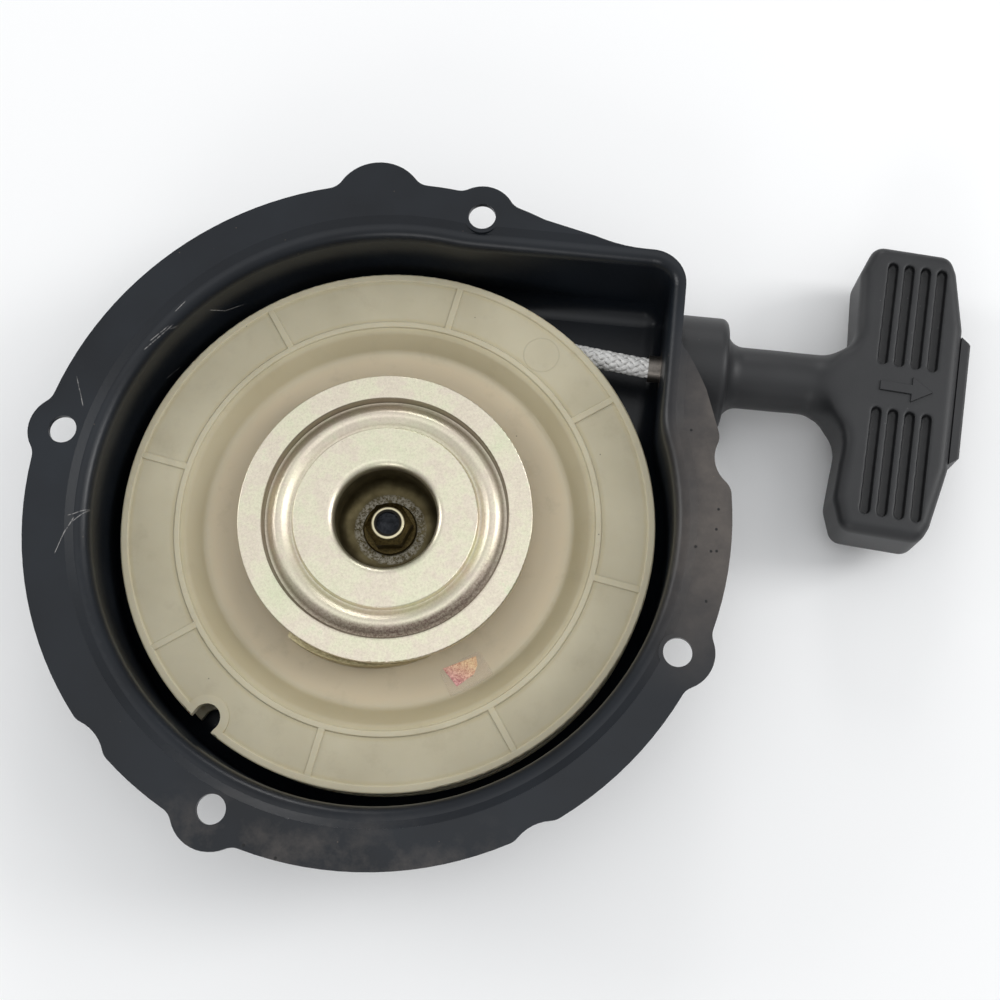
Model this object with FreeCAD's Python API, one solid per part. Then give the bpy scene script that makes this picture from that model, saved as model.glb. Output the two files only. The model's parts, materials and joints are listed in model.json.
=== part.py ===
import FreeCAD, Part
import os
from math import acos, atan2, cos, degrees, hypot, pi, radians, sin, sqrt, tan

from FreeCAD import Vector as V

# Recoil starter for a small engine, in millimetres.
# Origin: on the reel axis, in the plane of the mounting flange.
# +Z points out of the open side, towards the engine. +X is the way the rope is pulled.

# ---------------------------------------------------------------- driving dimensions
SHEET = 1.6            # case steel
WALL_R = 80.0          # inside of the case bowl
POCKET_X = 73.5        # inside face of the wall that the rope leaves through
POCKET_Y = 79.0        # inside face of the wall beside the rope
POCKET_CORNER = 6.0
FLANGE_R = 96.3
FLANGE_CENTRE = (-1.2, -0.4)
LIP = 4.0              # flange width round the rope pocket
JOGGLE_OUT = 4.95      # the flange slopes down by JOGGLE_DROP about this far outside the bowl
JOGGLE_RUN = 2.1       # width of that slope
JOGGLE_DROP = 1.2
MOUTH_BEND = 3.6
BOWL_FLOOR = -35.5     # inside of the outer floor
PAN_R = 54.0           # deeper pan in the middle of the floor, for the mainspring
PAN_FLOOR = -41.0
SEAT_R = 20.0          # raised seat that the centre post is riveted to
SEAT_RISE = 1.6
FLOOR_R = 71.0         # the floor's node ends here, on the flat beside the bend to the wall
BOLT_R = 3.9           # bolt clearance hole, half of 7.8
# bolt ears: hole x, hole y, ear radius
EARS = [(17.7, 87.8, 9.5), (-90.5, 12.0, 9.7), (-32.4, -85.0, 10.7), (83.2, -31.7, 9.8)]
TOP_EAR = (-12.5, 89.0, 13.0)
# round bites out of the flange edge: x, y, radius
BITES = [(98.2, 23.3, 9.3), (-74.1, -78.1, 12.0), (56.5, -90.1, 12.0)]
BOLT_PAD_R = 5.1       # flat ring kept round each bolt hole
EDGE_BLEND = 5.0       # where ears and bites run into the flange edge
SHOULDER = 33.0, 89.2   # the flange edge runs straight from here
LIP_START = 59.0, POCKET_Y + LIP   # to the lip above the pocket
LIP_BLEND = 55.0
FLOOR_BEND = 6.0
PAN_BEND = 3.0

POST_R = 9.0           # journal that the reel turns on
POST_FLANGE_R = 13.0
POST_TAIL_R = 5.0
POST_TOP = -30.6       # shoulder that carries the drive plate
STUD_R = 4.0           # M8
STUD_TOP = -21.6
RUNNING_FIT = 0.05
GAP = 0.3              # between parts that move past each other

REEL_R = 76.0
REEL_TOP = -19.0       # flat outer annulus
RAISED = 0.5           # height of the ring and ribs on it
RIB_W = 2.0
REEL_FLOOR = -22.5     # recessed middle
GROOVE_TOP, GROOVE_FLOOR = -21.0, -31.0
GROOVE_STEP = -24.3    # top of the groove's narrow inner part, under the recessed middle
REEL_BACK = -32.8
DRUM_R = 48.0
SPRING_ROOM_R = 37.5
HUB_R = 19.4
HUB_BORE_R = 11.0
CUP_ROOM_R = 17.4
SKIRT_END = -38.6
RIB_COUNT = 8
RIB_START = 35.5       # degrees
HUB_TOP, HUB_LOW = -30.9, -37.6
NOTCH_AT, NOTCH_ANGLE, NOTCH_R = 73.6, 235.2, 3.9
KNOT_AT, KNOT_ANGLE, KNOT_ROOM_R = 42.8, 150.0, 4.5

SPRING_STRIP = 0.7     # mainspring strip thickness
SPRING_PITCH = 1.8
SPRING_TURNS = 6
SPRING_R0 = 20.6
SPRING_LOW, SPRING_TOP = -38.2, -30.6
PEG_R = 2.0
PEG_CURL_R = 2.7
PEG_AT = 34.1
PEG_ANGLE = 20.0

PLATE_TOP = -12.0
PLATE_R = 41.4
PLATE_SHEET = 1.5
CUP_R = 14.5
CUP_FLOOR = -28.5
CUP_BEND = 4.0
CHANNEL_DROP = 2.6
NUT_FLATS = 12.0
NUT_FLANGE_R = 7.8
NUT_CREST_R = 3.3      # thread crests that show above the stud
NUT_TOP = -20.6
NUT_TURN = 8.0
COLLAR_R = 4.85

PIVOT_AT, PIVOT_ANGLE = 35.4, 292.0
PIVOT_BOSS_R = 5.6
PIN_R = 2.5
PAWL_OUT_R, PAWL_IN_R = 42.6, 33.0
PAWL_EYE_R = 4.9
PAWL_SHIFT = 5.0       # its arcs are centred this far towards the nose, so its back tapers in
PAWL_LOW, PAWL_TOP = -22.1, -17.3
NOSE_ANGLE = 237.0
SPRING_COIL_R, COIL_WIRE, COIL_TURNS = 3.6, 0.35, 4
FRICTION_WIRE = 0.7
FRICTION_Z = -19.6
FRICTION_REACH = 31.5
FRICTION_ANGLE = 255.0
# corners of the torn label on the reel's floor: x, y
LABEL = [(20.6, -39.5), (29.4, -35.0), (30.1, -37.4), (29.4, -40.1), (25.1, -44.0)]
LABEL_THICK = 0.12

ROPE_R = 3.0
ROPE_Z = -24.5
COIL_Z = -27.65        # middle of the inner turns, in the narrow part of the groove
LAYER_R = 63.0         # centre line of the outermost turn at rest
LEAD_ANGLE = 150.0     # where the modelled stretch of that turn starts
GUIDE_Y = 55.8
GUIDE_BODY_R = 5.2
GUIDE_COLLAR_R = 3.9
GUIDE_BEND_X = POCKET_X - 4.5   # the rope turns straight for the grip here
BEND_RUN = 2.4         # half the length of that turn

GRIP_Z = -25.0
GRIP_START = 77.4
HUB_OUT_R = 16.8
HUB_END = 92.0
NECK_R = 9.0
HEAD_PIVOT = 110.0     # the T-head leans about this place on the neck
HEAD_LEAN = -4.0       # degrees
LEAN_RUN = 12.0        # half the length of the bend in the bore there
HEAD_THICK = 20.0
HEAD_END = 48.0        # flat end of the head, from the pivot
HEAD_ROUND = 3.4
CAP_THICK = 2.8
GROOVE_COUNT = 4
GROOVE_U = 25.9
GROOVE_PITCH = 4.75
GROOVE_W = 2.8
GROOVE_DEPTH = 2.2
GROOVE_FROM, GROOVE_TO = 6.6, 38.6
POCKET_R = 7.0         # room for the knot
WASHER_U = 34.0        # where that room starts, from the pivot
KNOT_U = 39.9


# ---------------------------------------------------------------- small tools
def disc(radius, low, high, x=0.0, y=0.0):
    return Part.makeCylinder(radius, high - low, V(x, y, low))


def ring(outer, inner, low, high):
    return disc(outer, low, high).cut(disc(inner, low - 1, high + 1))


def bar(radius, start, end):
    """A round bar from one point to another."""
    along = V(*end) - V(*start)
    return Part.makeCylinder(radius, along.Length, V(*start), along)


def block(low, high):
    size = V(*high) - V(*low)
    return Part.makeBox(size.x, size.y, size.z, V(*low))


def prism(outline, low, high):
    points = [V(x, y, low) for x, y in outline]
    return Part.Face(Part.makePolygon(points + points[:1])).extrude(V(0, 0, high - low))


def turned(profile):
    """A closed outline of (radius, z) points, turned about the reel axis."""
    points = [V(r, 0, z) for r, z in profile]
    face = Part.Face(Part.makePolygon(points + points[:1]))
    return face.revolve(V(0, 0, 0), V(0, 0, 1), 360)


def is_circle(edge):
    return not edge.Degenerated and isinstance(edge.Curve, Part.Circle)


def circles(solid, *places):
    """The circular edges about the reel axis at the given (radius, z) places."""
    found = []
    for edge in filter(is_circle, solid.Edges):
        centre = edge.Curve.Center
        if hypot(centre.x, centre.y) > 0.01:
            continue
        for r, z in places:
            if abs(edge.Curve.Radius - r) < 0.01 and abs(centre.z - z) < 0.01:
                found.append(edge)
    return found


def stands_at(edge, place, reach=0.6):
    """True for a straight vertical edge at an (x, y) place."""
    box = edge.BoundBox
    if box.ZLength < 0.5 or box.XLength > 0.01 or box.YLength > 0.01:
        return False
    return hypot(box.Center.x - place[0], box.Center.y - place[1]) < reach


def uprights(solid, *places):
    """The straight vertical edges that stand at the given (x, y) places."""
    return [e for e in solid.Edges if any(stands_at(e, place) for place in places)]


def level_edges(solid, z):
    return [e for e in solid.Edges if e.BoundBox.ZLength < 0.001 and abs(e.BoundBox.ZMin - z) < 0.001]


def turn_z(shape, angle, x=0.0, y=0.0):
    copy = shape.copy()
    copy.rotate(V(x, y, 0), V(0, 0, 1), angle)
    return copy


def at(radius, angle):
    return radius * cos(radians(angle)), radius * sin(radians(angle))


# ---------------------------------------------------------------- case
def bowl(grow, low, high):
    """The inside of the case as an upright prism, grown outwards by grow."""
    round_part = disc(WALL_R + grow, low, high)
    px, py = POCKET_X + grow, POCKET_Y + grow
    pocket = block((0, 0, low), (px, py, high))
    pocket = pocket.makeFillet(POCKET_CORNER + grow, uprights(pocket, (px, py)))
    both = round_part.fuse(pocket).removeSplitter()
    side_y = sqrt((WALL_R + grow) ** 2 - px ** 2)
    top_x = sqrt((WALL_R + grow) ** 2 - py ** 2)
    both = both.makeFillet(25.0 - grow, uprights(both, (px, side_y)))
    return both.makeFillet(60.0 - grow, uprights(both, (top_x, py)))


def flange_plate(low, high):
    """The flange outline: a disc with bolt ears, bites and a narrow lip round the pocket."""
    plate = disc(FLANGE_R, low, high, *FLANGE_CENTRE)
    plate = plate.cut(prism([(90.4, 27.5), (77.5, 64.0), (77.5, 120), (130, 120), (130, 27.5)], low, high))
    plate = plate.fuse(bowl(LIP, low, high))
    plate = plate.fuse(prism([SHOULDER, LIP_START, (LIP_START[0], 60.0), (30.0, 60.0)], low, high))
    for x, y, radius in EARS + [TOP_EAR]:
        plate = plate.fuse(disc(radius, low, high, x, y))
    for x, y, radius in BITES:
        plate = plate.cut(disc(radius, low, high, x, y))
    return plate.removeSplitter()


def joggle_room():
    """What the press pushes down inside the flange: the bowl's outline with sloping sides."""
    low, high = -JOGGLE_DROP, JOGGLE_DROP / 2
    slope = JOGGLE_RUN / JOGGLE_DROP
    wires = []
    for z in (low, high):
        grow = JOGGLE_OUT - JOGGLE_RUN / 2 + (z - low) * slope
        slab = bowl(grow, z - 1, z)
        lids = [f for f in slab.Faces if f.BoundBox.ZLength < 0.001 and abs(f.BoundBox.ZMin - z) < 0.001]
        wires.append(lids[0].OuterWire)
    return Part.makeLoft(wires, True, True)


def bolt_pads(low, high):
    """The flat rings of sheet round the bolt holes, which the joggle leaves alone."""
    return Part.makeCompound([disc(BOLT_PAD_R, low, high, x, y) for x, y, _ in EARS])


def flange_line(low, high):
    """All that lies inside the top of the joggle's slope, apart from the bolt pads."""
    return bowl(JOGGLE_OUT + JOGGLE_RUN / 2, low, high).cut(bolt_pads(low - 1, high + 1))


def make_pressing():
    """Pressed steel case: flange, joggle, bowl with rope pocket, outer floor, pan and raised seat."""
    plate = flange_plate(-SHEET, 0)
    lip_ends = [(POCKET_X + LIP, POCKET_Y - POCKET_CORNER), (POCKET_X - POCKET_CORNER, POCKET_Y + LIP)]
    smooth = uprights(plate, *lip_ends)
    corners = [e for e in plate.Edges if e.BoundBox.ZLength > 1 and e.BoundBox.XLength < 0.01]
    corners = [e for e in corners if not any(e.isSame(other) for other in smooth)]
    plate = plate.makeFillet(EDGE_BLEND, [e for e in corners if not stands_at(e, LIP_START)])
    plate = plate.makeFillet(LIP_BLEND, [e for e in plate.Edges if stands_at(e, LIP_START)])
    deep = JOGGLE_DROP + SHEET
    under = plate.copy()
    under.translate(V(0, 0, -JOGGLE_DROP))
    lowered = flange_line(-deep, -JOGGLE_DROP).common(under)
    plate = plate.cut(joggle_room().cut(bolt_pads(-JOGGLE_DROP - 1, 2))).fuse(lowered)

    outside = bowl(SHEET, BOWL_FLOOR - SHEET, -deep)
    outside = outside.makeFillet(FLOOR_BEND + SHEET, level_edges(outside, BOWL_FLOOR - SHEET))
    pan = disc(PAN_R + SHEET, PAN_FLOOR - SHEET, BOWL_FLOOR - SHEET)
    pan = pan.makeFillet(PAN_BEND + SHEET, circles(pan, (PAN_R + SHEET, PAN_FLOOR - SHEET)))
    outside = outside.fuse(pan)
    outside = outside.makeFillet(PAN_BEND, circles(outside, (PAN_R + SHEET, BOWL_FLOOR - SHEET)))
    skin = plate.fuse(outside).removeSplitter()

    inside = bowl(0, BOWL_FLOOR, 1)
    inside = inside.makeFillet(FLOOR_BEND, level_edges(inside, BOWL_FLOOR))
    well = disc(PAN_R, PAN_FLOOR, BOWL_FLOOR)
    well = well.makeFillet(PAN_BEND, circles(well, (PAN_R, PAN_FLOOR)))
    inside = inside.fuse(well)
    inside = inside.makeFillet(PAN_BEND + SHEET, circles(inside, (PAN_R, BOWL_FLOOR)))
    skin = skin.cut(inside)

    mouth = [e for e in level_edges(skin, -JOGGLE_DROP) if on_bowl_edge(e)]
    skin = skin.makeFillet(MOUTH_BEND, mouth)
    seat = disc(SEAT_R, PAN_FLOOR, PAN_FLOOR + SEAT_RISE)
    skin = skin.fuse(seat).cut(disc(SEAT_R - SHEET, PAN_FLOOR - SHEET - 1, PAN_FLOOR + SEAT_RISE - SHEET))
    skin = skin.cut(disc(POST_TAIL_R, PAN_FLOOR - SHEET - 1, PAN_FLOOR + SEAT_RISE + 1))
    skin = skin.cut(disc(PEG_R, PAN_FLOOR - SHEET - 1, PAN_FLOOR + 1, *at(PEG_AT, PEG_ANGLE)))
    for x, y, _ in EARS:
        skin = skin.cut(disc(BOLT_R, -9, 1, x, y))
    rope_hole = bar(GUIDE_BODY_R, (POCKET_X - 3, GUIDE_Y, ROPE_Z), (POCKET_X + 6, GUIDE_Y, ROPE_Z))
    return skin.cut(rope_hole).removeSplitter()


def on_bowl_edge(edge):
    """True for an edge that lies on the inside outline of the bowl and its pocket."""
    c = edge.valueAt((edge.FirstParameter + edge.LastParameter) / 2)
    on_round = abs(hypot(c.x, c.y) - WALL_R) < 0.7
    on_side = abs(c.x - POCKET_X) < 0.7 and 0 < c.y < POCKET_Y
    on_top = abs(c.y - POCKET_Y) < 0.7 and 0 < c.x < POCKET_X
    corner = POCKET_X - POCKET_CORNER, POCKET_Y - POCKET_CORNER
    on_corner = abs(hypot(c.x - corner[0], c.y - corner[1]) - POCKET_CORNER) < 0.1
    return on_round or on_side or on_top or on_corner


# ---------------------------------------------------------------- fixed pieces on the reel axis
def make_post():
    """Shaft riveted to the case: tail and rivet head, base flange, journal and threaded stud."""
    seat = PAN_FLOOR + SEAT_RISE
    head = seat - SHEET
    outline = [(0, head - 1.4), (POST_TAIL_R + 3, head - 1.4), (POST_TAIL_R + 3, head), (POST_TAIL_R, head),
               (POST_TAIL_R, seat), (POST_FLANGE_R, seat), (POST_FLANGE_R, seat + 1.5), (POST_R, seat + 1.5),
               (POST_R, POST_TOP), (STUD_R, POST_TOP), (STUD_R, STUD_TOP - 0.6), (STUD_R - 0.6, STUD_TOP),
               (0, STUD_TOP)]
    post = turned(outline)
    return post.makeFillet(0.6, circles(post, (POST_TAIL_R + 3, head - 1.4)))


def make_plate():
    """Zinc plated drive plate: flat rim, stepped channel, raised middle and a deep cup for the nut."""
    channel = PLATE_TOP - CHANNEL_DROP
    middle = PLATE_TOP - 0.8
    ridge = channel + 1.3
    top = [(PLATE_R, PLATE_TOP), (34.6, PLATE_TOP), (34.2, channel), (33.4, channel), (30.9, ridge),
           (29.6, ridge), (27.0, channel), (26.5, channel), (26.0, middle), (CUP_R, middle),
           (CUP_R, CUP_FLOOR), (STUD_R + 0.2, CUP_FLOOR)]
    s = PLATE_SHEET
    bottom = [(STUD_R + 0.2, CUP_FLOOR - s), (CUP_R + s, CUP_FLOOR - s), (CUP_R + s, middle - s),
              (24.8, middle - s), (25.6, channel - s), (27.3, channel - s), (29.8, ridge - s),
              (30.7, ridge - s), (33.2, channel - s), (35.2, channel - s), (35.8, PLATE_TOP - s),
              (PLATE_R, PLATE_TOP - s)]
    plate = turned(top + bottom)
    plate = plate.makeFillet(2.2, circles(plate, (CUP_R, middle)))
    plate = plate.makeFillet(CUP_BEND + s, circles(plate, (CUP_R + s, CUP_FLOOR - s)))
    plate = plate.makeFillet(CUP_BEND, circles(plate, (CUP_R, CUP_FLOOR)))
    plate = plate.makeFillet(2.2, circles(plate, (30.9, ridge), (29.6, ridge)))
    plate = plate.makeFillet(1.6, circles(plate, (33.4, channel), (27.0, channel)))
    plate = plate.makeFillet(0.35, circles(plate, (34.6, PLATE_TOP), (26.0, middle)))
    return plate.makeFillet(0.3, circles(plate, (PLATE_R, PLATE_TOP)))


def make_nut():
    """Flange nut with a thin locking collar above its hexagon."""
    flange_top = CUP_FLOOR + 1.4
    nut = disc(NUT_FLANGE_R, CUP_FLOOR, flange_top)
    nut = nut.makeFillet(0.5, circles(nut, (NUT_FLANGE_R, flange_top)))
    corner = NUT_FLATS / 2 / cos(pi / 6)
    turn = [NUT_TURN + 60 * k for k in range(6)]
    hexagon = prism([at(corner, a) for a in turn], flange_top, NUT_TOP - 0.9)
    bevel = Part.makeCone(corner, corner - 2.6, 1.5, V(0, 0, NUT_TOP - 2.4))
    bevel = bevel.fuse(disc(corner, flange_top, NUT_TOP - 2.4))
    collar = disc(COLLAR_R, NUT_TOP - 3, NUT_TOP)
    collar = collar.makeFillet(0.5, circles(collar, (COLLAR_R, NUT_TOP)))
    nut = nut.fuse(hexagon.common(bevel)).fuse(collar)
    nut = nut.cut(disc(STUD_R + 0.02, CUP_FLOOR - 1, STUD_TOP + 0.1))
    return nut.cut(disc(NUT_CREST_R, CUP_FLOOR - 1, NUT_TOP + 1)).removeSplitter()


def make_guide():
    """Rope bush in the pocket wall: inner collar, body through the wall and outer flange."""
    inner_end, outer_end = POCKET_X - 3.6, POCKET_X + SHEET + 1.8
    collar = bar(GUIDE_COLLAR_R, (inner_end, GUIDE_Y, ROPE_Z), (POCKET_X, GUIDE_Y, ROPE_Z))
    body = bar(GUIDE_BODY_R, (POCKET_X, GUIDE_Y, ROPE_Z), (outer_end, GUIDE_Y, ROPE_Z))
    flange = bar(8.0, (POCKET_X + SHEET, GUIDE_Y, ROPE_Z), (outer_end, GUIDE_Y, ROPE_Z))
    guide = collar.fuse(body).fuse(flange)
    return guide.cut(bar(ROPE_R + 0.4, (inner_end - 1, GUIDE_Y, ROPE_Z), (outer_end + 1, GUIDE_Y, ROPE_Z)))


def half_circle(centre, radius, side):
    """Half a circle about (centre, 0), on the +Y side of the X axis, or on the other if side is -1."""
    arc = Part.Arc(V(centre + radius, 0, 0), V(centre, side * radius, 0), V(centre - radius, 0, 0))
    return arc.toShape()


def make_mainspring():
    """Flat steel strip wound in a spiral of half circles, with its outer end curled round the peg."""
    half = SPRING_STRIP / 2
    inner, outer = [], []
    radius, centre, side = SPRING_R0, 0.0, 1
    for _ in range(2 * SPRING_TURNS):
        for edges, r in ((inner, radius - half), (outer, radius + half)):
            edges.append(half_circle(centre, r, side))
        centre += side * SPRING_PITCH / 2
        radius += SPRING_PITCH / 2
        side = -side
    curl_in, curl_out = PEG_CURL_R - half, PEG_CURL_R + half
    curl = [half_circle(PEG_AT, r, 1) for r in (curl_in, curl_out)]
    start = Part.LineSegment(V(SPRING_R0 - half, 0, 0), V(SPRING_R0 + half, 0, 0)).toShape()
    stop = Part.LineSegment(V(PEG_AT + curl_in, 0, 0), V(PEG_AT + curl_out, 0, 0)).toShape()
    edges = Part.__sortEdges__(inner + outer + curl + [start, stop])
    strip = Part.Face(Part.Wire(edges)).extrude(V(0, 0, SPRING_TOP - SPRING_LOW))
    strip.translate(V(0, 0, SPRING_LOW))
    hook = block((HUB_R - 1.6, 0, SPRING_LOW), (SPRING_R0, SPRING_STRIP, SPRING_TOP))
    return turn_z(strip.fuse(hook).removeSplitter(), PEG_ANGLE)


# ---------------------------------------------------------------- reel and what turns with it
def make_reel():
    """Moulded nylon reel: rope groove, raised rings and ribs, drum, hub and skirt round the spring."""
    r_out, top = REEL_R, REEL_TOP
    web = REEL_FLOOR - 2.5
    front = [(HUB_BORE_R, HUB_TOP), (CUP_ROOM_R, HUB_TOP), (CUP_ROOM_R, REEL_FLOOR), (52.5, REEL_FLOOR),
             (58.0, top), (59.0, top), (59.3, top + RAISED), (60.7, top + RAISED), (61.0, top), (73.6, top),
             (74.0, top + RAISED), (r_out, top + RAISED)]
    groove = [(r_out, GROOVE_TOP), (58.6, GROOVE_TOP), (53.4, GROOVE_STEP), (DRUM_R, GROOVE_STEP),
              (DRUM_R, GROOVE_FLOOR), (r_out, GROOVE_FLOOR)]
    back = [(r_out, REEL_BACK), (DRUM_R, REEL_BACK), (DRUM_R, SKIRT_END), (SPRING_ROOM_R, SKIRT_END),
            (SPRING_ROOM_R, web), (HUB_R, web), (HUB_R, HUB_LOW), (HUB_BORE_R, HUB_LOW)]
    reel = turned(front + groove + back)
    rims = circles(reel, (r_out, top + RAISED), (r_out, GROOVE_FLOOR), (r_out, REEL_BACK))
    reel = reel.makeFillet(0.5, rims)
    soft_rings = [(59.3, top + RAISED), (60.7, top + RAISED), (74.0, top + RAISED)]
    reel = reel.makeFillet(0.3, circles(reel, *soft_rings))
    reel = reel.makeFillet(2.5, circles(reel, (52.5, REEL_FLOOR), (58.0, top)))
    rib = block((60.6, -RIB_W / 2, top - 0.5), (73.9, RIB_W / 2, top + RAISED - 0.05))
    rib = rib.makeFillet(0.35, [e for e in rib.Edges if e.BoundBox.XLength > 5 and e.BoundBox.ZMin > top])
    for k in range(RIB_COUNT):
        reel = reel.fuse(turn_z(rib, RIB_START + 360 / RIB_COUNT * k))
    nx, ny = at(NOTCH_AT, NOTCH_ANGLE)
    brim = disc(NOTCH_R + 2.4, top - 0.5, top + RAISED, nx, ny).common(disc(r_out - 0.5, top - 1, top + 1))
    reel = reel.fuse(brim)
    mouth = block((NOTCH_AT, -NOTCH_R + 0.1, REEL_BACK - 1), (r_out + 5, NOTCH_R - 0.1, top + 2))
    reel = reel.cut(disc(NOTCH_R, REEL_BACK - 1, top + 2, nx, ny).fuse(turn_z(mouth, NOTCH_ANGLE)))
    boss = disc(PIVOT_BOSS_R, REEL_FLOOR - 7.5, REEL_FLOOR - 1, *at(PIVOT_AT, PIVOT_ANGLE))
    reel = reel.fuse(boss)
    reel = reel.cut(disc(PIN_R, REEL_FLOOR - 6, 0, *at(PIVOT_AT, PIVOT_ANGLE)))
    reel = reel.cut(disc(SPRING_COIL_R + 1.0, REEL_FLOOR - 3.2, 0, *at(PIVOT_AT, PIVOT_ANGLE)))
    reel = reel.cut(disc(KNOT_ROOM_R, SKIRT_END - 1, GROOVE_STEP, *at(KNOT_AT, KNOT_ANGLE)))
    hole = bar(ROPE_R + 0.1, (KNOT_AT, 0, COIL_Z), (DRUM_R + 2, 0, COIL_Z))
    reel = reel.cut(turn_z(hole, KNOT_ANGLE))
    slot = block((HUB_R - 2.2, -0.5, HUB_LOW - 1), (HUB_R + 1, SPRING_STRIP + 0.5, SPRING_TOP + 1))
    return reel.cut(turn_z(slot, PEG_ANGLE)).removeSplitter()


def make_pawl():
    """Sickle shaped pawl: pivot eye at one end and a square driving nose at the other."""
    px, py = at(PIVOT_AT, PIVOT_ANGLE)
    arm = ring(PAWL_OUT_R - PAWL_SHIFT, PAWL_IN_R - PAWL_SHIFT, PAWL_LOW, PAWL_TOP)
    arm.translate(V(*at(PAWL_SHIFT, NOSE_ANGLE), 0))
    away = 200
    sector = [(0, 0), at(away, NOSE_ANGLE), at(away, (NOSE_ANGLE + PIVOT_ANGLE) / 2), at(away, PIVOT_ANGLE)]
    arm = arm.common(prism(sector, PAWL_LOW, PAWL_TOP))
    eye = disc(PAWL_EYE_R, PAWL_LOW, PAWL_TOP, px, py)
    pawl = arm.fuse(eye).removeSplitter()
    nose = uprights(pawl, at(PAWL_OUT_R, NOSE_ANGLE), at(PAWL_IN_R, NOSE_ANGLE))
    pawl = pawl.makeFillet(1.0, nose)
    return pawl.cut(disc(PIN_R + RUNNING_FIT, PAWL_LOW - 1, PAWL_TOP + 1, px, py))


def make_pawl_pin():
    x, y = at(PIVOT_AT, PIVOT_ANGLE)
    shank = disc(PIN_R, REEL_FLOOR - 6, PAWL_TOP + GAP, x, y)
    return shank.fuse(disc(PIN_R + 1.2, PAWL_TOP + GAP, PAWL_TOP + GAP + 0.4, x, y))


def make_pawl_spring():
    """Small torsion spring in the counterbore under the pawl. Its turns are close plain rings."""
    coil = Part.makeTorus(SPRING_COIL_R, COIL_WIRE)
    for k in range(1, COIL_TURNS):
        loop = Part.makeTorus(SPRING_COIL_R, COIL_WIRE)
        loop.translate(V(0, 0, 1.8 * COIL_WIRE * k))
        coil = coil.fuse(loop)
    coil = coil.removeSplitter()
    coil.translate(V(*at(PIVOT_AT, PIVOT_ANGLE), REEL_FLOOR - 2.8))
    return coil


def make_friction_spring():
    """Open wire ring that grips the cup lightly, with an arm that ends beside the pawl."""
    centre_r = CUP_R + PLATE_SHEET + 0.1 + FRICTION_WIRE
    torus = Part.makeTorus(centre_r, FRICTION_WIRE)
    gap = prism([(0, 0), at(60, -12), at(60, 12)], -5, 5)
    arm = bar(FRICTION_WIRE, (centre_r, 0, 0), (FRICTION_REACH, 0, 0))
    open_ring = torus.cut(turn_z(gap, FRICTION_ANGLE + 14)).fuse(turn_z(arm, FRICTION_ANGLE))
    open_ring.translate(V(0, 0, FRICTION_Z))
    return open_ring.removeSplitter()


def make_label():
    """Small torn foil label on the reel's floor, with a hair of glue under it."""
    glue = 0.02
    return prism(LABEL, REEL_FLOOR + glue, REEL_FLOOR + glue + LABEL_THICK)


# ---------------------------------------------------------------- rope
def tangent_angle():
    """Angle on the outermost turn where the rope leaves it, straight for the guide."""
    return degrees(atan2(GUIDE_Y, GUIDE_BEND_X) + acos(LAYER_R / hypot(GUIDE_BEND_X, GUIDE_Y)))


def rope_tube(wire, start, along, radius=ROPE_R):
    section = Part.Wire(Part.makeCircle(radius, start, along))
    tube = wire.makePipeShell([section], True, True)
    print("tube: volume over section times length", round(tube.Volume / (pi * radius ** 2 * wire.Length), 4))
    return tube


def make_rope_lead():
    """The outermost turn's last stretch, the straight run to the guide and the way through it."""
    leave = tangent_angle()
    start, half_way, end = [V(*at(LAYER_R, angle), ROPE_Z)
                            for angle in (LEAD_ANGLE, (LEAD_ANGLE + leave) / 2, leave)]
    corner = V(GUIDE_BEND_X, GUIDE_Y, ROPE_Z)
    back = (end - corner).normalize()
    turn = acos(-back.x)
    radius = BEND_RUN / tan(turn / 2)
    before, after = corner + back * BEND_RUN, corner + V(BEND_RUN, 0, 0)
    knee = after + V(-radius * sin(turn / 2), radius * (1 - cos(turn / 2)), 0)
    edges = [Part.Arc(start, half_way, end).toShape(), Part.LineSegment(end, before).toShape(),
             Part.Arc(before, knee, after).toShape(),
             Part.LineSegment(after, V(GRIP_START, GUIDE_Y, ROPE_Z)).toShape()]
    wire = Part.Wire(edges)
    print("lead: length", round(wire.Length, 1), "radii", LAYER_R, round(radius, 1))
    return rope_tube(wire, start, V(-start.y, start.x, 0))


def tail_tube(start_x, end_u, radius):
    """A tube along the middle of the grip, which bends where the head leans."""
    start = V(start_x, GUIDE_Y, ROPE_Z)
    bend = V(HEAD_PIVOT, GUIDE_Y, ROPE_Z)
    tilt = radians(HEAD_LEAN)
    way = V(cos(tilt), sin(tilt), 0)
    bend_r = LEAN_RUN / tan(abs(tilt) / 2)
    before, after = bend - V(LEAN_RUN, 0, 0), bend + way * LEAN_RUN
    knee = V(before.x + bend_r * sin(-tilt / 2), before.y - bend_r * (1 - cos(tilt / 2)), ROPE_Z)
    edges = [Part.LineSegment(start, before).toShape(), Part.Arc(before, knee, after).toShape(),
             Part.LineSegment(after, bend + way * end_u).toShape()]
    wire = Part.Wire(edges)
    print("tail: length", round(wire.Length, 1), "radius", round(bend_r, 1))
    return rope_tube(wire, start, V(1, 0, 0), radius)


def knot(reach):
    """An overhand knot, pulled tight, as two crossed loops of rope with a ball between them."""
    thick = ROPE_R * 0.8
    loop = Part.makeTorus(reach - thick, thick)
    crossed = loop.copy()
    crossed.rotate(V(0, 0, 0), V(1, 0, 0), 58)
    return loop.fuse(crossed).fuse(Part.makeSphere(reach - thick))


# ---------------------------------------------------------------- grip
def lean(shape):
    """Puts a shape drawn about the head's pivot, with its neck along +X, where the head leans."""
    copy = shape.copy()
    copy.translate(V(HEAD_PIVOT, GUIDE_Y, GRIP_Z))
    copy.rotate(V(HEAD_PIVOT, GUIDE_Y, GRIP_Z), V(0, 0, 1), HEAD_LEAN)
    return copy


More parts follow.
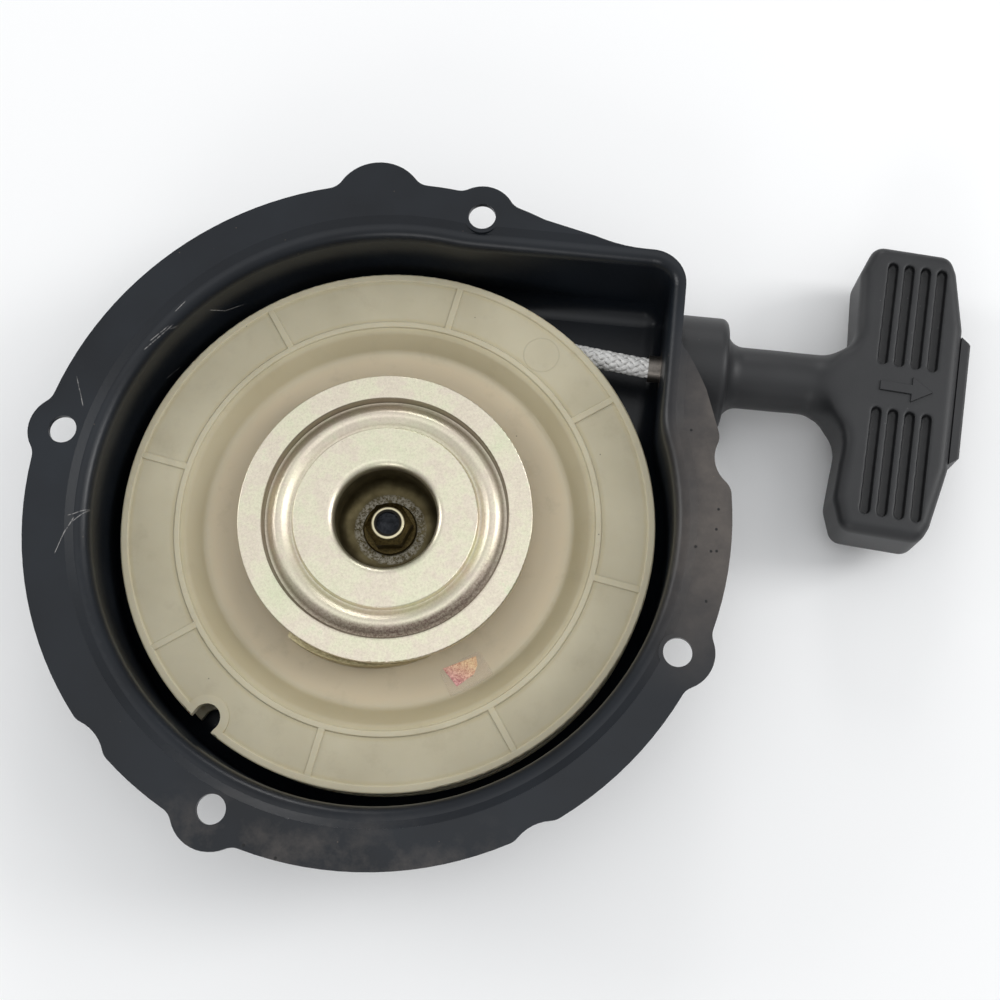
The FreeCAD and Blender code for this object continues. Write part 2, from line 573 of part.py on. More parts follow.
def head_flare():
    """A trumpet about the neck's line, which rounds off the head where the neck runs into it."""
    start, flare, wide, far = 7.0, 8.4, 60.0, HEAD_END + 5
    throat, mouth = NECK_R + 0.1, start + flare
    knee = V(start + flare * sin(pi / 4), throat + flare * (1 - cos(pi / 4)), 0)
    bell = Part.Arc(V(start, throat, 0), knee, V(mouth, throat + flare, 0)).toShape()
    rest = Part.makePolygon([V(mouth, throat + flare, 0), V(mouth, wide, 0), V(far, wide, 0),
                             V(far, 0, 0), V(start, 0, 0), V(start, throat, 0)])
    face = Part.Face(Part.Wire([bell] + rest.Edges))
    return face.revolve(V(0, 0, 0), V(1, 0, 0), 360)


def make_head():
    """The T-shaped hand piece, flat on both faces with finger grooves."""
    half = HEAD_THICK / 2
    side = [(8.2, 9.1), (18.4, 9.4), (17.0, 35.0), (20.2, 44.0), (42.4, 44.0), (44.6, 39.0), (HEAD_END, 21.5)]
    outline = side + [(u, -v) for u, v in reversed(side)]
    head = prism(outline, -half, half)
    head = head.makeFillet(7.5, uprights(head, (18.4, 9.4)))
    head = head.makeFillet(9.8, uprights(head, (18.4, -9.4)))
    tips = [(u, v * s) for u, v in ((20.2, 44.0), (42.4, 44.0)) for s in (1, -1)]
    head = head.makeFillet(4.2, uprights(head, *tips))
    shoulders = [(u, v * s) for u, v in ((44.6, 39.0), (HEAD_END, 21.5)) for s in (1, -1)]
    head = head.makeFillet(5.0, uprights(head, *shoulders))
    head = head.makeFillet(6.0, uprights(head, (17.0, 35.0), (17.0, -35.0)))
    round_over = [e for z in (half, -half) for e in level_edges(head, z) if e.BoundBox.XMax > 8.3]
    head = head.makeFillet(HEAD_ROUND, round_over)
    head = head.common(head_flare())
    for k in range(GROOVE_COUNT):
        u = GROOVE_U + GROOVE_PITCH * k
        for v in (GROOVE_FROM, -GROOVE_TO):
            w, length = GROOVE_W / 2, GROOVE_TO - GROOVE_FROM
            for low in (half - GROOVE_DEPTH, -half - 1):
                cut = block((u - w, v + w, low), (u + w, v + length - w, low + GROOVE_DEPTH + 1))
                cut = cut.fuse(disc(w, low, low + GROOVE_DEPTH + 1, u, v + w))
                cut = cut.fuse(disc(w, low, low + GROOVE_DEPTH + 1, u, v + length - w))
                head = head.cut(cut)
    return head


def make_grip():
    """Moulded grip: hub that seats on the rope guide, round neck and T-shaped head."""
    hub = bar(HUB_OUT_R, (GRIP_START, GUIDE_Y, GRIP_Z), (HUB_END, GUIDE_Y, GRIP_Z))
    rims = filter(is_circle, hub.Edges)
    hub = hub.makeFillet(2.2, [e for e in rims if abs(e.BoundBox.Center.x - HUB_END) < 0.01])
    neck = bar(NECK_R, (HUB_END - 1, GUIDE_Y, GRIP_Z), (HEAD_PIVOT + 14, GUIDE_Y, GRIP_Z))
    stem = hub.fuse(neck).removeSplitter()
    root = [e for e in filter(is_circle, stem.Edges) if abs(e.Curve.Radius - NECK_R) < 0.01
            and abs(e.BoundBox.Center.x - HUB_END) < 0.01]
    stem = stem.makeFillet(5.0, root)
    grip = stem.fuse(lean(make_head()))
    grip = grip.cut(tail_tube(GRIP_START - 1, KNOT_U, ROPE_R + 0.5))
    return grip.cut(lean(bar(POCKET_R, (WASHER_U, 0, 0), (HEAD_END + 1, 0, 0)))).removeSplitter()


def make_cap():
    """Plug over the knot pocket, with a plate that has bevelled ends."""
    reach, deep = 19.5, 8.0
    plate = Part.Face(Part.makePolygon([V(u, v, -deep) for u, v in (
        (HEAD_END, reach), (HEAD_END + CAP_THICK, reach - 2.2), (HEAD_END + CAP_THICK, 2.2 - reach),
        (HEAD_END, -reach), (HEAD_END, reach))])).extrude(V(0, 0, 2 * deep))
    face_edges = [e for e in plate.Edges if e.BoundBox.XMin > HEAD_END + CAP_THICK - 0.01]
    plate = plate.makeFillet(0.8, face_edges)
    return lean(plate.fuse(bar(POCKET_R - 0.3, (HEAD_END - 2.5, 0, 0), (HEAD_END + 0.5, 0, 0))))


def make_knot_washer():
    washer = bar(POCKET_R - 0.5, (WASHER_U, 0, 0), (WASHER_U + 1, 0, 0))
    return lean(washer.cut(bar(ROPE_R + 0.3, (WASHER_U - 1, 0, 0.5), (WASHER_U + 2, 0, 0.5))))


# ---------------------------------------------------------------- all the nodes
def split_pressing():
    """The one pressing as three nodes, which meet face to face: floor, wall and flange."""
    pressing = make_pressing()
    low = PAN_FLOOR - SHEET - 1
    bowl_part = pressing.common(flange_line(low, 1))
    floor_room = disc(FLOOR_R, low, BOWL_FLOOR + FLOOR_BEND)
    return {
        "case_floor": bowl_part.common(floor_room),
        "case_wall": bowl_part.cut(floor_room),
        "mounting_flange": pressing.cut(flange_line(low, 1)),
    }


def make_all():
    knot_x, knot_y = at(KNOT_AT, KNOT_ANGLE)
    peg_x, peg_y = at(PEG_AT, PEG_ANGLE)
    reel_knot = knot(4.3)
    reel_knot.translate(V(knot_x, knot_y, COIL_Z - 1.2))
    grip_knot = knot(5.4)
    grip_knot.translate(V(KNOT_U, 0, ROPE_Z - GRIP_Z))
    return split_pressing() | {
        "centre_post": make_post(),
        "thrust_washer": ring(12.0, STUD_R + 0.1, POST_TOP, CUP_FLOOR - PLATE_SHEET),
        "drive_plate": make_plate(),
        "flange_nut": make_nut(),
        "rope_guide": make_guide(),
        "spring_peg": disc(PEG_R, PAN_FLOOR - SHEET, SPRING_TOP + 0.2, peg_x, peg_y),
        "mainspring": make_mainspring(),
        "reel": make_reel(),
        "reel_bush": ring(HUB_BORE_R, POST_R + RUNNING_FIT, HUB_LOW, HUB_TOP),
        "rope_coil": ring(LAYER_R - ROPE_R - GAP, DRUM_R + 0.1, COIL_Z - ROPE_R, COIL_Z + ROPE_R),
        "reel_knot": reel_knot,
        "pawl_pin": make_pawl_pin(),
        "pawl_spring": make_pawl_spring(),
        "friction_spring": make_friction_spring(),
        "inspection_label": make_label(),
        "pawl": make_pawl(),
        "rope_lead": make_rope_lead(),
        "rope_tail": tail_tube(GRIP_START, KNOT_U - 3.0, ROPE_R),
        "grip": make_grip(),
        "grip_cap": make_cap(),
        "grip_knot": lean(grip_knot),
        "knot_washer": make_knot_washer(),
    }


os.makedirs("parts", exist_ok=True)
for name, shape in make_all().items():
    shape.exportStep("parts/" + name + ".step")
    box = shape.BoundBox
    print(name, "valid", shape.isValid(), "solids", len(shape.Solids), "volume", round(shape.Volume),
          [round(v, 1) for v in (box.XMin, box.XMax, box.YMin, box.YMax, box.ZMin, box.ZMax)])
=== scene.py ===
# %% [markdown]
# # A pull starter, seen from its open side
# The model arrives as a fixed frame: every metal and plastic part already has its size and
# place. This notebook gives each part its finish, and makes in mesh the few pieces that a
# solid modeller draws poorly, such as braided rope and a soft moulded grip. The frame is in
# metres, with the reel's axis as Z and the rope pulled along X.

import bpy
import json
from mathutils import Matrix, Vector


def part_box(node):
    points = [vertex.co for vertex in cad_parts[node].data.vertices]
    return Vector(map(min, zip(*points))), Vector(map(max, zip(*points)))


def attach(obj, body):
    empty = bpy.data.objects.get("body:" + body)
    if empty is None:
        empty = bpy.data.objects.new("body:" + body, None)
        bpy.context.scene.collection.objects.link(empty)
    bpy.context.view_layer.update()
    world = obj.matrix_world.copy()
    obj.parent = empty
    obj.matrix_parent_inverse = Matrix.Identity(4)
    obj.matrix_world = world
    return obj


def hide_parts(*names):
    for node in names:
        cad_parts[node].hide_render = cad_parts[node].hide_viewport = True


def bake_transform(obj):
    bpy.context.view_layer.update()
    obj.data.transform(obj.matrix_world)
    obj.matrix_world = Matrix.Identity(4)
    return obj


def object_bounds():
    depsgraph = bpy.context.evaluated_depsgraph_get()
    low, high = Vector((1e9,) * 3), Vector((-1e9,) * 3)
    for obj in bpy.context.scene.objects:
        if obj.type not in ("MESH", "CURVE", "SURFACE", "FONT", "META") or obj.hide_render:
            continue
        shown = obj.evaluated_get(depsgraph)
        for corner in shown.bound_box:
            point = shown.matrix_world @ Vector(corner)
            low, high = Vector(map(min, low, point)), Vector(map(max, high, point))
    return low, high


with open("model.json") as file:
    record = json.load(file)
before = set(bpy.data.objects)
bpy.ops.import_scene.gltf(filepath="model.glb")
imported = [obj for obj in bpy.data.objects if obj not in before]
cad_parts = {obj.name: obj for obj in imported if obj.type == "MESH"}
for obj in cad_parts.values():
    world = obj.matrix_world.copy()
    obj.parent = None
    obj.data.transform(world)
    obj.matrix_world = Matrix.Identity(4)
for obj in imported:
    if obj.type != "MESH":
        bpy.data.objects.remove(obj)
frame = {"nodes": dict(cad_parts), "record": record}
cad_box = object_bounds()
print("nodes:", len(frame["nodes"]), "size:", [round(b - a, 4) for a, b in zip(*cad_box)])

# %% [markdown]
# ## Helpers
# Sizes of the pieces are in millimetres here, as on a workshop drawing, and become metres
# when a mesh is made. The reel turns about Z, so many places are easiest to give as a radius
# and an angle. Each piece made here also has to be told which body of the mechanism carries
# it, or it would stay behind when that body moves.

# %% Imports and two helpers
import json
import math

import bmesh
import bpy
import numpy as np
from mathutils import Matrix, Vector

MM = 0.001   # one millimetre in metres


def polar(radius, degrees, height=0.0):
    """A point at a radius and an angle about the reel's axis."""
    turn = math.radians(degrees)
    return Vector((radius * math.cos(turn), radius * math.sin(turn), height))


def new_piece(name, body, mesh, finish):
    """Links a mesh as a piece of the object that moves with a body."""
    piece = bpy.data.objects.new(name, mesh)
    bpy.context.scene.collection.objects.link(piece)
    mesh.materials.clear()
    mesh.materials.append(finish)
    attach(piece, body)
    return piece


print("one millimetre is", MM, "m")

# %% [markdown]
# ## Camera
# The starter lies on its closed side, and the eye is almost above it: 15 degrees off the
# vertical, towards the bottom edge, and close enough for some perspective. A camera needs
# three directions. They come from an azimuth, an elevation and a small roll, because those
# are easier to judge than a matrix.

# %% Place the camera
EYE = Vector((51.69, -94.50, 365.25)) * MM
AZIMUTH, ELEVATION, ROLL = 11.14, 74.56, -4.91   # degrees
LENS_MM = 50.4
NEAREST = 0.01   # metres: nothing nearer to the eye is drawn


def make_camera():
    turn, lift = math.radians(AZIMUTH), math.radians(ELEVATION)
    back = Vector((math.sin(turn) * math.cos(lift), -math.cos(turn) * math.cos(lift), math.sin(lift)))
    right = Vector((0, 0, 1)).cross(back).normalized()
    up = back.cross(right)
    level = Matrix((right, up, back)).transposed()
    camera = bpy.data.objects.new("camera", bpy.data.cameras.new("camera"))
    camera.data.lens = LENS_MM
    camera.data.clip_start = NEAREST
    turned = level @ Matrix.Rotation(math.radians(ROLL), 3, "Z")
    camera.matrix_world = Matrix.Translation(EYE) @ turned.to_4x4()
    bpy.context.scene.collection.objects.link(camera)
    bpy.context.scene.camera = camera
    return camera


camera = make_camera()
print("camera looks along", [round(v, 3) for v in -camera.matrix_world.col[2].xyz])

# %% [markdown]
# ## Floor and light
# The floor is pale paper. The light is one big soft sky, bright overhead and grey towards the
# horizon, so that flat metal looks bright, sloping metal looks darker, and every ring in the
# drive plate shows without a hard lamp. Five small soft panels stand around the object.
# Flat faces never mirror them to the eye, so they only draw thin bright lines along bends.
# Plain colour management keeps a finish's tone the same in the render and in the numbers.

# %% Floor, sky and panels
FLOOR_Z = cad_box[0].z
FLOOR_HALF = 3.0   # metres
bpy.context.scene.view_settings.view_transform = "Standard"


def make_floor():
    mesh = bpy.data.meshes.new("floor")
    signs = ((-1, -1), (1, -1), (1, 1), (-1, 1))
    corners = [(x * FLOOR_HALF, y * FLOOR_HALF, FLOOR_Z) for x, y in signs]
    mesh.from_pydata(corners, [], [(0, 1, 2, 3)])
    floor = bpy.data.objects.new("floor", mesh)
    bpy.context.scene.collection.objects.link(floor)
    paper = bpy.data.materials.new("studio paper")
    paper.use_nodes = True
    surface = paper.node_tree.nodes["Principled BSDF"]
    surface.inputs["Base Color"].default_value = (0.94, 0.94, 0.94, 1)
    surface.inputs["Roughness"].default_value = 0.9
    mesh.materials.append(paper)


# how bright the sky is at the sine of a height above the horizon
SKY = [(0.0, 0.18), (0.5, 0.36), (0.85, 0.53), (0.92, 0.68), (0.97, 0.95), (1.0, 1.0)]
SKY_TINT = (1.32, 1.34, 1.36)
PANEL_AWAY = 1.35   # metres
# soft panels: azimuth and height in degrees, side in metres, watts
PANELS = {
    "left": (165, 22, 0.45, 4.0),
    "right": (15, 30, 0.40, 4.5),
    "right high": (21, 48, 0.50, 1.6),
    "front": (-98, 27, 0.45, 2.2),
    "back": (90, 25, 0.30, 2.2),
}


def make_sky():
    world = bpy.data.worlds.new("soft sky")
    world.use_nodes = True
    nodes, links = world.node_tree.nodes, world.node_tree.links
    where = nodes.new("ShaderNodeTexCoord")
    height = nodes.new("ShaderNodeSeparateXYZ")
    glow = nodes.new("ShaderNodeValToRGB")
    while len(glow.color_ramp.elements) < len(SKY):
        glow.color_ramp.elements.new(1.0)
    for element, (rise, tone) in zip(glow.color_ramp.elements, SKY):
        element.position = rise
        element.color = (tone, tone, tone, 1)
    links.new(where.outputs["Generated"], height.inputs[0])
    links.new(height.outputs["Z"], glow.inputs["Fac"])
    links.new(glow.outputs["Color"], nodes["Background"].inputs["Strength"])
    nodes["Background"].inputs["Color"].default_value = (*SKY_TINT, 1)
    bpy.context.scene.world = world


def make_panel(name, azimuth, lift, side, watts):
    data = bpy.data.lights.new(name, "AREA")
    data.shape = "SQUARE"
    data.size = side
    data.energy = watts
    lamp = bpy.data.objects.new(name, data)
    rise = math.radians(lift)
    lamp.location = polar(PANEL_AWAY * math.cos(rise), azimuth, PANEL_AWAY * math.sin(rise))
    lamp.rotation_mode = "QUATERNION"
    lamp.rotation_quaternion = (-lamp.location).to_track_quat("-Z", "Y")
    bpy.context.scene.collection.objects.link(lamp)


make_floor()
make_sky()
for name, (azimuth, lift, side, watts) in PANELS.items():
    make_panel(name + " panel", azimuth, lift, side, watts)
print("floor at", round(FLOOR_Z, 4))

# %% [markdown]
# ## A little language for finishes
# A finish is a graph of shader nodes. Wired by hand, even `1 - mask * 0.3` takes three nodes
# and four links, and the sense is lost. Here a small class wraps a socket and gives it the
# arithmetic signs, so that an expression builds its own Math nodes.

# %% Signal
class Signal:
    """A socket's value inside a finish, which Python's own signs can do sums with."""

    def __init__(self, finish, socket):
        self.finish, self.socket = finish, socket

    def maths(self, operation, *others):
        """One Math node, with this value first."""
        sockets = dict(enumerate((self, *others)))
        return self.finish.node("ShaderNodeMath", {"operation": operation}, sockets)

    def __add__(self, other):
        return self.maths("ADD", other)

    def __sub__(self, other):
        return self.maths("SUBTRACT", other)

    def __rsub__(self, other):
        return (self * -1).maths("ADD", other)

    def __mul__(self, other):
        return self.maths("MULTIPLY", other)

    def __truediv__(self, other):
        return self.maths("DIVIDE", other)

    __radd__, __rmul__ = __add__, __mul__

    def ramp(self, low, high):
        """0 below low, 1 above high, and straight between."""
        sockets = {"Value": self, "From Min": low, "From Max": high}
        return self.finish.node("ShaderNodeMapRange", {"clamp": True}, sockets)

    def band(self, low, high, soft):
        """1 between low and high, fading over a soft edge outside them."""
        return self.ramp(low - soft, low) * (1 - self.ramp(high, high + soft))


print("a signal knows", ", ".join(name for name in vars(Signal) if "__" not in name))

# %% [markdown]
# ## A finish under construction
# One method makes every other kind of node. Its settings go in first, because they decide
# which sockets exist, and then each socket gets a value or a link. The other methods are
# short names for the few nodes that every finish here needs: where a point is, cloudy noise,
# a mix of two colours, and a bump.

# %% Finish
class Finish:
    """A material under construction."""

    def __init__(self, name):
        self.material = bpy.data.materials.new(name)
        self.material.use_nodes = True
        self.tree = self.material.node_tree
        self.surface = self.tree.nodes["Principled BSDF"]

    def node(self, kind, settings=None, inputs=None, out=0):
        """Any node: its settings first, then values or links for its sockets. Gives one output."""
        made = self.tree.nodes.new(kind)
        for key, value in (settings or {}).items():
            if key == "stops":
                self._set_stops(made.color_ramp, value)
            else:
                setattr(made, key, value)
        for key, value in (inputs or {}).items():
            self.feed(made.inputs[key], value)
        return Signal(self, made.outputs[out])

    def _set_stops(self, ramp, stops):
        while len(ramp.elements) < len(stops):
            ramp.elements.new(1.0)
        for element, (place, colour) in zip(ramp.elements, stops):
            element.position, element.color = place, (*colour, 1)

    def feed(self, socket, value):
        """Links a signal to a socket, or sets a plain value on it."""
        if isinstance(value, Signal):
            self.tree.links.new(value.socket, socket)
        elif socket.type == "RGBA":
            socket.default_value = (*value, 1)
        else:
            socket.default_value = value

    def place(self):
        """Where a point is in the row frame, in millimetres: the vector and its three parts."""
        spot = self.node("ShaderNodeTexCoord", out="Object")
        spot = self.node("ShaderNodeVectorMath", {"operation": "SCALE"}, {"Vector": spot, "Scale": 1 / MM})
        return (spot, *[self.node("ShaderNodeSeparateXYZ", inputs={0: spot}, out=k) for k in range(3)])

    def noise(self, spot, grain_mm, detail=3.0, rough=0.5):
        """Cloudy noise from 0 to 1 whose blotches are about grain_mm across."""
        sockets = {"Vector": spot, "Scale": 1 / grain_mm, "Detail": detail, "Roughness": rough}
        return self.node("ShaderNodeTexNoise", inputs=sockets)

    def mix(self, factor, first, second):
        """A colour between two colours."""
        return self.node("ShaderNodeMix", {"data_type": "RGBA"}, {0: factor, 6: first, 7: second}, out=2)

    def bump(self, height, millimetres, strength):
        """A normal tilted by a height, whose full step is so many millimetres."""
        sockets = {"Height": height, "Distance": millimetres * MM, "Strength": strength}
        return self.node("ShaderNodeBump", inputs=sockets)

    def done(self, **sockets):
        """Feeds the surface's own sockets and gives the material back."""
        for key, value in sockets.items():
            self.feed(self.surface.inputs[key.replace("_", " ")], value)
        return self.material


def radius_of(finish, x, y):
    """Distance from the origin of two coordinates."""
    return finish.node("ShaderNodeMath", {"operation": "SQRT"}, {0: x * x + y * y})


print("a finish knows", ", ".join(name for name in vars(Finish) if "__" not in name))

# %% [markdown]
# ## Coated case
# The case is pressed steel with a thin black coat that leans to blue. It is hardly glossy:
# the coat follows the rolled sheet, so it has a fine peel. Handling leaves pale hairlines,
# small chips show brown steel, and the flange's right side has been rubbed to a brownish
# grey, which also carries a painted sheen. A patchy painted sheen lightens the flange along its
# bottom edge too. Each hairline is the distance to a short straight line, which keeps it thin
# however large the render is.

# %% Case finish
# scratches on the flange and its bend, in millimetres: (x, y) at both ends
HAIRLINES = [
    ((-72.3, 38.4), (-66.2, 46.5)), ((-71.0, 41.2), (-67.4, 45.6)), ((-65.5, 50.6), (-63.6, 53.3)),
    ((-89.3, 27.2), (-88.0, 24.0)), ((-87.6, 23.2), (-86.2, 19.6)), ((-66.4, 45.6), (-64.6, 47.2)),
    ((-79.3, -9.0), (-84.0, -11.8)), ((-79.3, -9.0), (-83.0, -13.4)),
    ((-83.0, -12.6), (-84.8, -19.0)), ((-84.2, -16.5), (-85.6, -22.5)),
]
# scratches down the bowl's wall: (x, z) at both ends
WALL_HAIRLINES = [
    ((-58.1, -9.5), (-55.5, -15.5)), ((-55.5, -15.5), (-51.7, -18.4)), ((-70.6, -21.7), (-68.7, -23.4)),
]
# middles of small chips in the coat: (x, y)
CHIPS = [(82.0, 29.7), (91.0, 8.1), (90.8, 2.5), (85.7, -2.8), (89.5, -17.4), (89.8, -3.7), (91.3, -3.5),
         (-22.6, -93.0), (-14.0, -95.2)]


def hairline(across, along, start, end, half_width=0.15):
    """1 on a thin straight scratch and 0 elsewhere, from two coordinates."""
    (ax, ay), (bx, by) = start, end
    length = math.hypot(bx - ax, by - ay)
    ux, uy = (bx - ax) / length, (by - ay) / length
    far = (across - ax) * ux + (along - ay) * uy
    off = ((along - ay) * ux - (across - ax) * uy).maths("ABSOLUTE")
    return far.band(0, length, 0.6) * (1 - off.ramp(half_width * 0.4, half_width))


def strongest(masks):
    """The largest of several masks."""
    total = masks[0]
    for mask in masks[1:]:
        total = total.maths("MAXIMUM", mask)
    return total


def case_finish():
    paint = Finish("black coat")
    spot, x, y, z = paint.place()
    cloud = paint.noise(spot, 38, 4)
    peel = paint.noise(spot, 0.9, 2)
    worn = paint.noise(spot, 11, 5, 0.65)
    sheet_top = z.ramp(-4, -1.5)
    right_side = x.ramp(72, 86) * (1 - y.ramp(38, 66)) * y.ramp(-44, -8)
    # the flange's right side, rubbed to a brownish grey: real wear, with a painted sheen on it
    rubbed_with_sheen = right_side * sheet_top * (0.55 + worn.ramp(0.35, 0.65) * 0.45)
    # painted sheen in patches along the flange's bottom edge
    lower = (1 - y.ramp(-92, -78)) * sheet_top * worn.ramp(0.45, 0.7) * 0.5
    colour = paint.mix(cloud.ramp(0.35, 0.7), (0.0055, 0.007, 0.010), (0.011, 0.0145, 0.020))
    colour = paint.mix(rubbed_with_sheen.maths("MAXIMUM", lower), colour, (0.095, 0.082, 0.073))
    bare = [hairline(x, y, *ends) * sheet_top for ends in HAIRLINES]
    bare += [hairline(x, z, *ends) * y.ramp(20, 25) for ends in WALL_HAIRLINES]
    scratches = strongest(bare) * paint.noise(spot, 1.1, 4, 0.7).ramp(0.36, 0.56)
    colour = paint.mix(scratches * 0.85, colour, (0.32, 0.31, 0.30))
    chips = [1 - radius_of(paint, x - chip_x, y - chip_y).ramp(0.25, 0.5) for chip_x, chip_y in CHIPS]
    chips = strongest(chips) * sheet_top
    colour = paint.mix(chips, colour, (0.004, 0.004, 0.004))
    specks = paint.node("ShaderNodeTexVoronoi", inputs={"Vector": spot, "Scale": 0.16})
    colour = paint.mix((1 - specks.ramp(0.015, 0.04)) * 0.5, colour, (0.16, 0.12, 0.09))
    roughness = 0.24 + cloud * 0.10 + peel * 0.05 + rubbed_with_sheen * 0.12
    height = peel * 0.6 + cloud * 0.4 - scratches * 0.5 - chips * 2
    return paint.done(Base_Color=colour, Roughness=roughness, Normal=paint.bump(height, 0.06, 0.5),
                  Specular_IOR_Level=0.34)


case_coat = case_finish()
print("case finish:", len(case_coat.node_tree.nodes), "nodes")

# %% [markdown]
# ## Natural nylon
# The reel is nylon with no dye in it: cream, a little see-through, browner where the wall
# is thick and in dusty blotches. Light that enters comes out again nearby, so the surface uses
# some subsurface scattering. Its tone follows the radius, as the moulding does: a painted tan
# shade in the slope, yellow lines beside the raised ring and rim, and the round print of an
# ejector pin. Painted shade darkens a band beside the drive plate, and a painted highlight
# lightens what stands above the reel's flat face.

# %% Reel finish
INNER_R = (50, 54)           # where the thick inner disc ends, in millimetres from the axis
SLOPE = (53.6, 57.0)         # the slope round it, painted a darker tan as shade
RING_LINES = [(58.4, 58.8), (61.3, 61.6), (73.1, 73.4)]   # beside the raised ring and the rim
PLATE_SIDE_SHADE = (38, 46)       # a band beside the drive plate, painted darker as shade
EJECTOR = (38.3, 54.7, 5.2)  # x, y and radius of the ejector pin's print


def nylon_finish():
    paint = Finish("natural nylon")
    spot, x, y, z = paint.place()
    r = radius_of(paint, x, y)
    cloud = paint.noise(spot, 22, 4)
    grain = paint.noise(spot, 0.35, 2)
    colour = paint.mix(cloud.ramp(0.3, 0.75), (0.46, 0.412, 0.285), (0.55, 0.50, 0.36))
    inner = 1 - r.ramp(*INNER_R)
    colour = paint.mix(inner * 0.85, colour, (0.60, 0.50, 0.345))
    # painted shade: the slope is darkened to tan
    slope = r.band(*SLOPE, 1.8) * z.ramp(-23.5, -22)
    colour = paint.mix(slope * 0.65, colour, (0.40, 0.33, 0.19))
    first, second, third = (r.band(*line, 0.7) for line in RING_LINES)
    rings = first + second + third
    colour = paint.mix(rings * 0.22, colour, (0.47, 0.38, 0.18))
    # painted highlight: everything that stands above the reel's flat face is lightened
    raised_highlight = z.ramp(-18.75, -18.55)
    colour = paint.mix(raised_highlight * 0.3, colour, (0.60, 0.55, 0.40))
    pin_x, pin_y, pin_r = EJECTOR
    print_edge = radius_of(paint, x - pin_x, y - pin_y).band(pin_r - 0.12, pin_r + 0.12, 0.15)
    print_edge = print_edge * z.ramp(-19.4, -19.2)
    colour = paint.mix(print_edge * 0.35, colour, (0.36, 0.32, 0.22))
    # dusty blotches, and painted shade in a band beside the drive plate
    dust_and_shade = paint.noise(spot, 9, 5, 0.65).ramp(0.55, 0.8) * 0.35 + r.band(*PLATE_SIDE_SHADE, 5) * 0.3
    colour = paint.mix(dust_and_shade, colour, (0.33, 0.28, 0.19))
    specks = paint.node("ShaderNodeTexVoronoi", inputs={"Vector": spot, "Scale": 0.11})
    colour = paint.mix((1 - specks.ramp(0.012, 0.03)) * 0.8, colour, (0.10, 0.09, 0.08))
    roughness = 0.38 + cloud * 0.16 + grain * 0.05
    height = grain + cloud * 2 - print_edge * 3
    return paint.done(Base_Color=colour, Roughness=roughness, Normal=paint.bump(height, 0.03, 0.5),
                  Subsurface_Weight=0.3, Subsurface_Radius=(0.004, 0.003, 0.002), Subsurface_Scale=0.35)


nylon = nylon_finish()
print("reel finish:", len(nylon.node_tree.nodes), "nodes")

# %% [markdown]
# ## Zinc plate
# The drive plate is bright steel with yellow zinc. A chromate film shows faint pinks and
# greens like oil on water, because its thickness drifts. The pressed surface is matt in fine
# grains, and dust sits on it as small dark specks. A dark brown reflection is painted on the
# channel's outer side towards the eye, and painted shade darkens the step at the channel's edge.
# Down in the cup painted shade turns the zinc dark olive, apart from a rough bright ring that
# the nut's flange has ground clean.

# %% Plate finish
# tones of the chromate film, from where it is thinnest to where it is thickest
CHROMATE = [
    (0.0, (0.74, 0.76, 0.55)), (0.35, (0.81, 0.77, 0.60)), (0.5, (0.78, 0.70, 0.58)),
    (0.65, (0.83, 0.77, 0.62)), (0.8, (0.75, 0.77, 0.57)), (1.0, (0.82, 0.74, 0.58)),
]
CHANNEL = (27.0, 33.8)      # radii of the pressed channel, millimetres
CHANNEL_LOW = (31.6, 34.2)  # its outer side, where a dark brown reflection is painted
# the step at the channel's outer edge, painted dark as shade
CHANNEL_EDGE_SHADE = (34.15, 34.75)
CUP_TOP = (-16.5, -14.2)    # heights where painted shade turns the zinc dark towards the cup
GROUND = (8.2, 9.9)         # radii of the ring that the nut's flange has ground clean


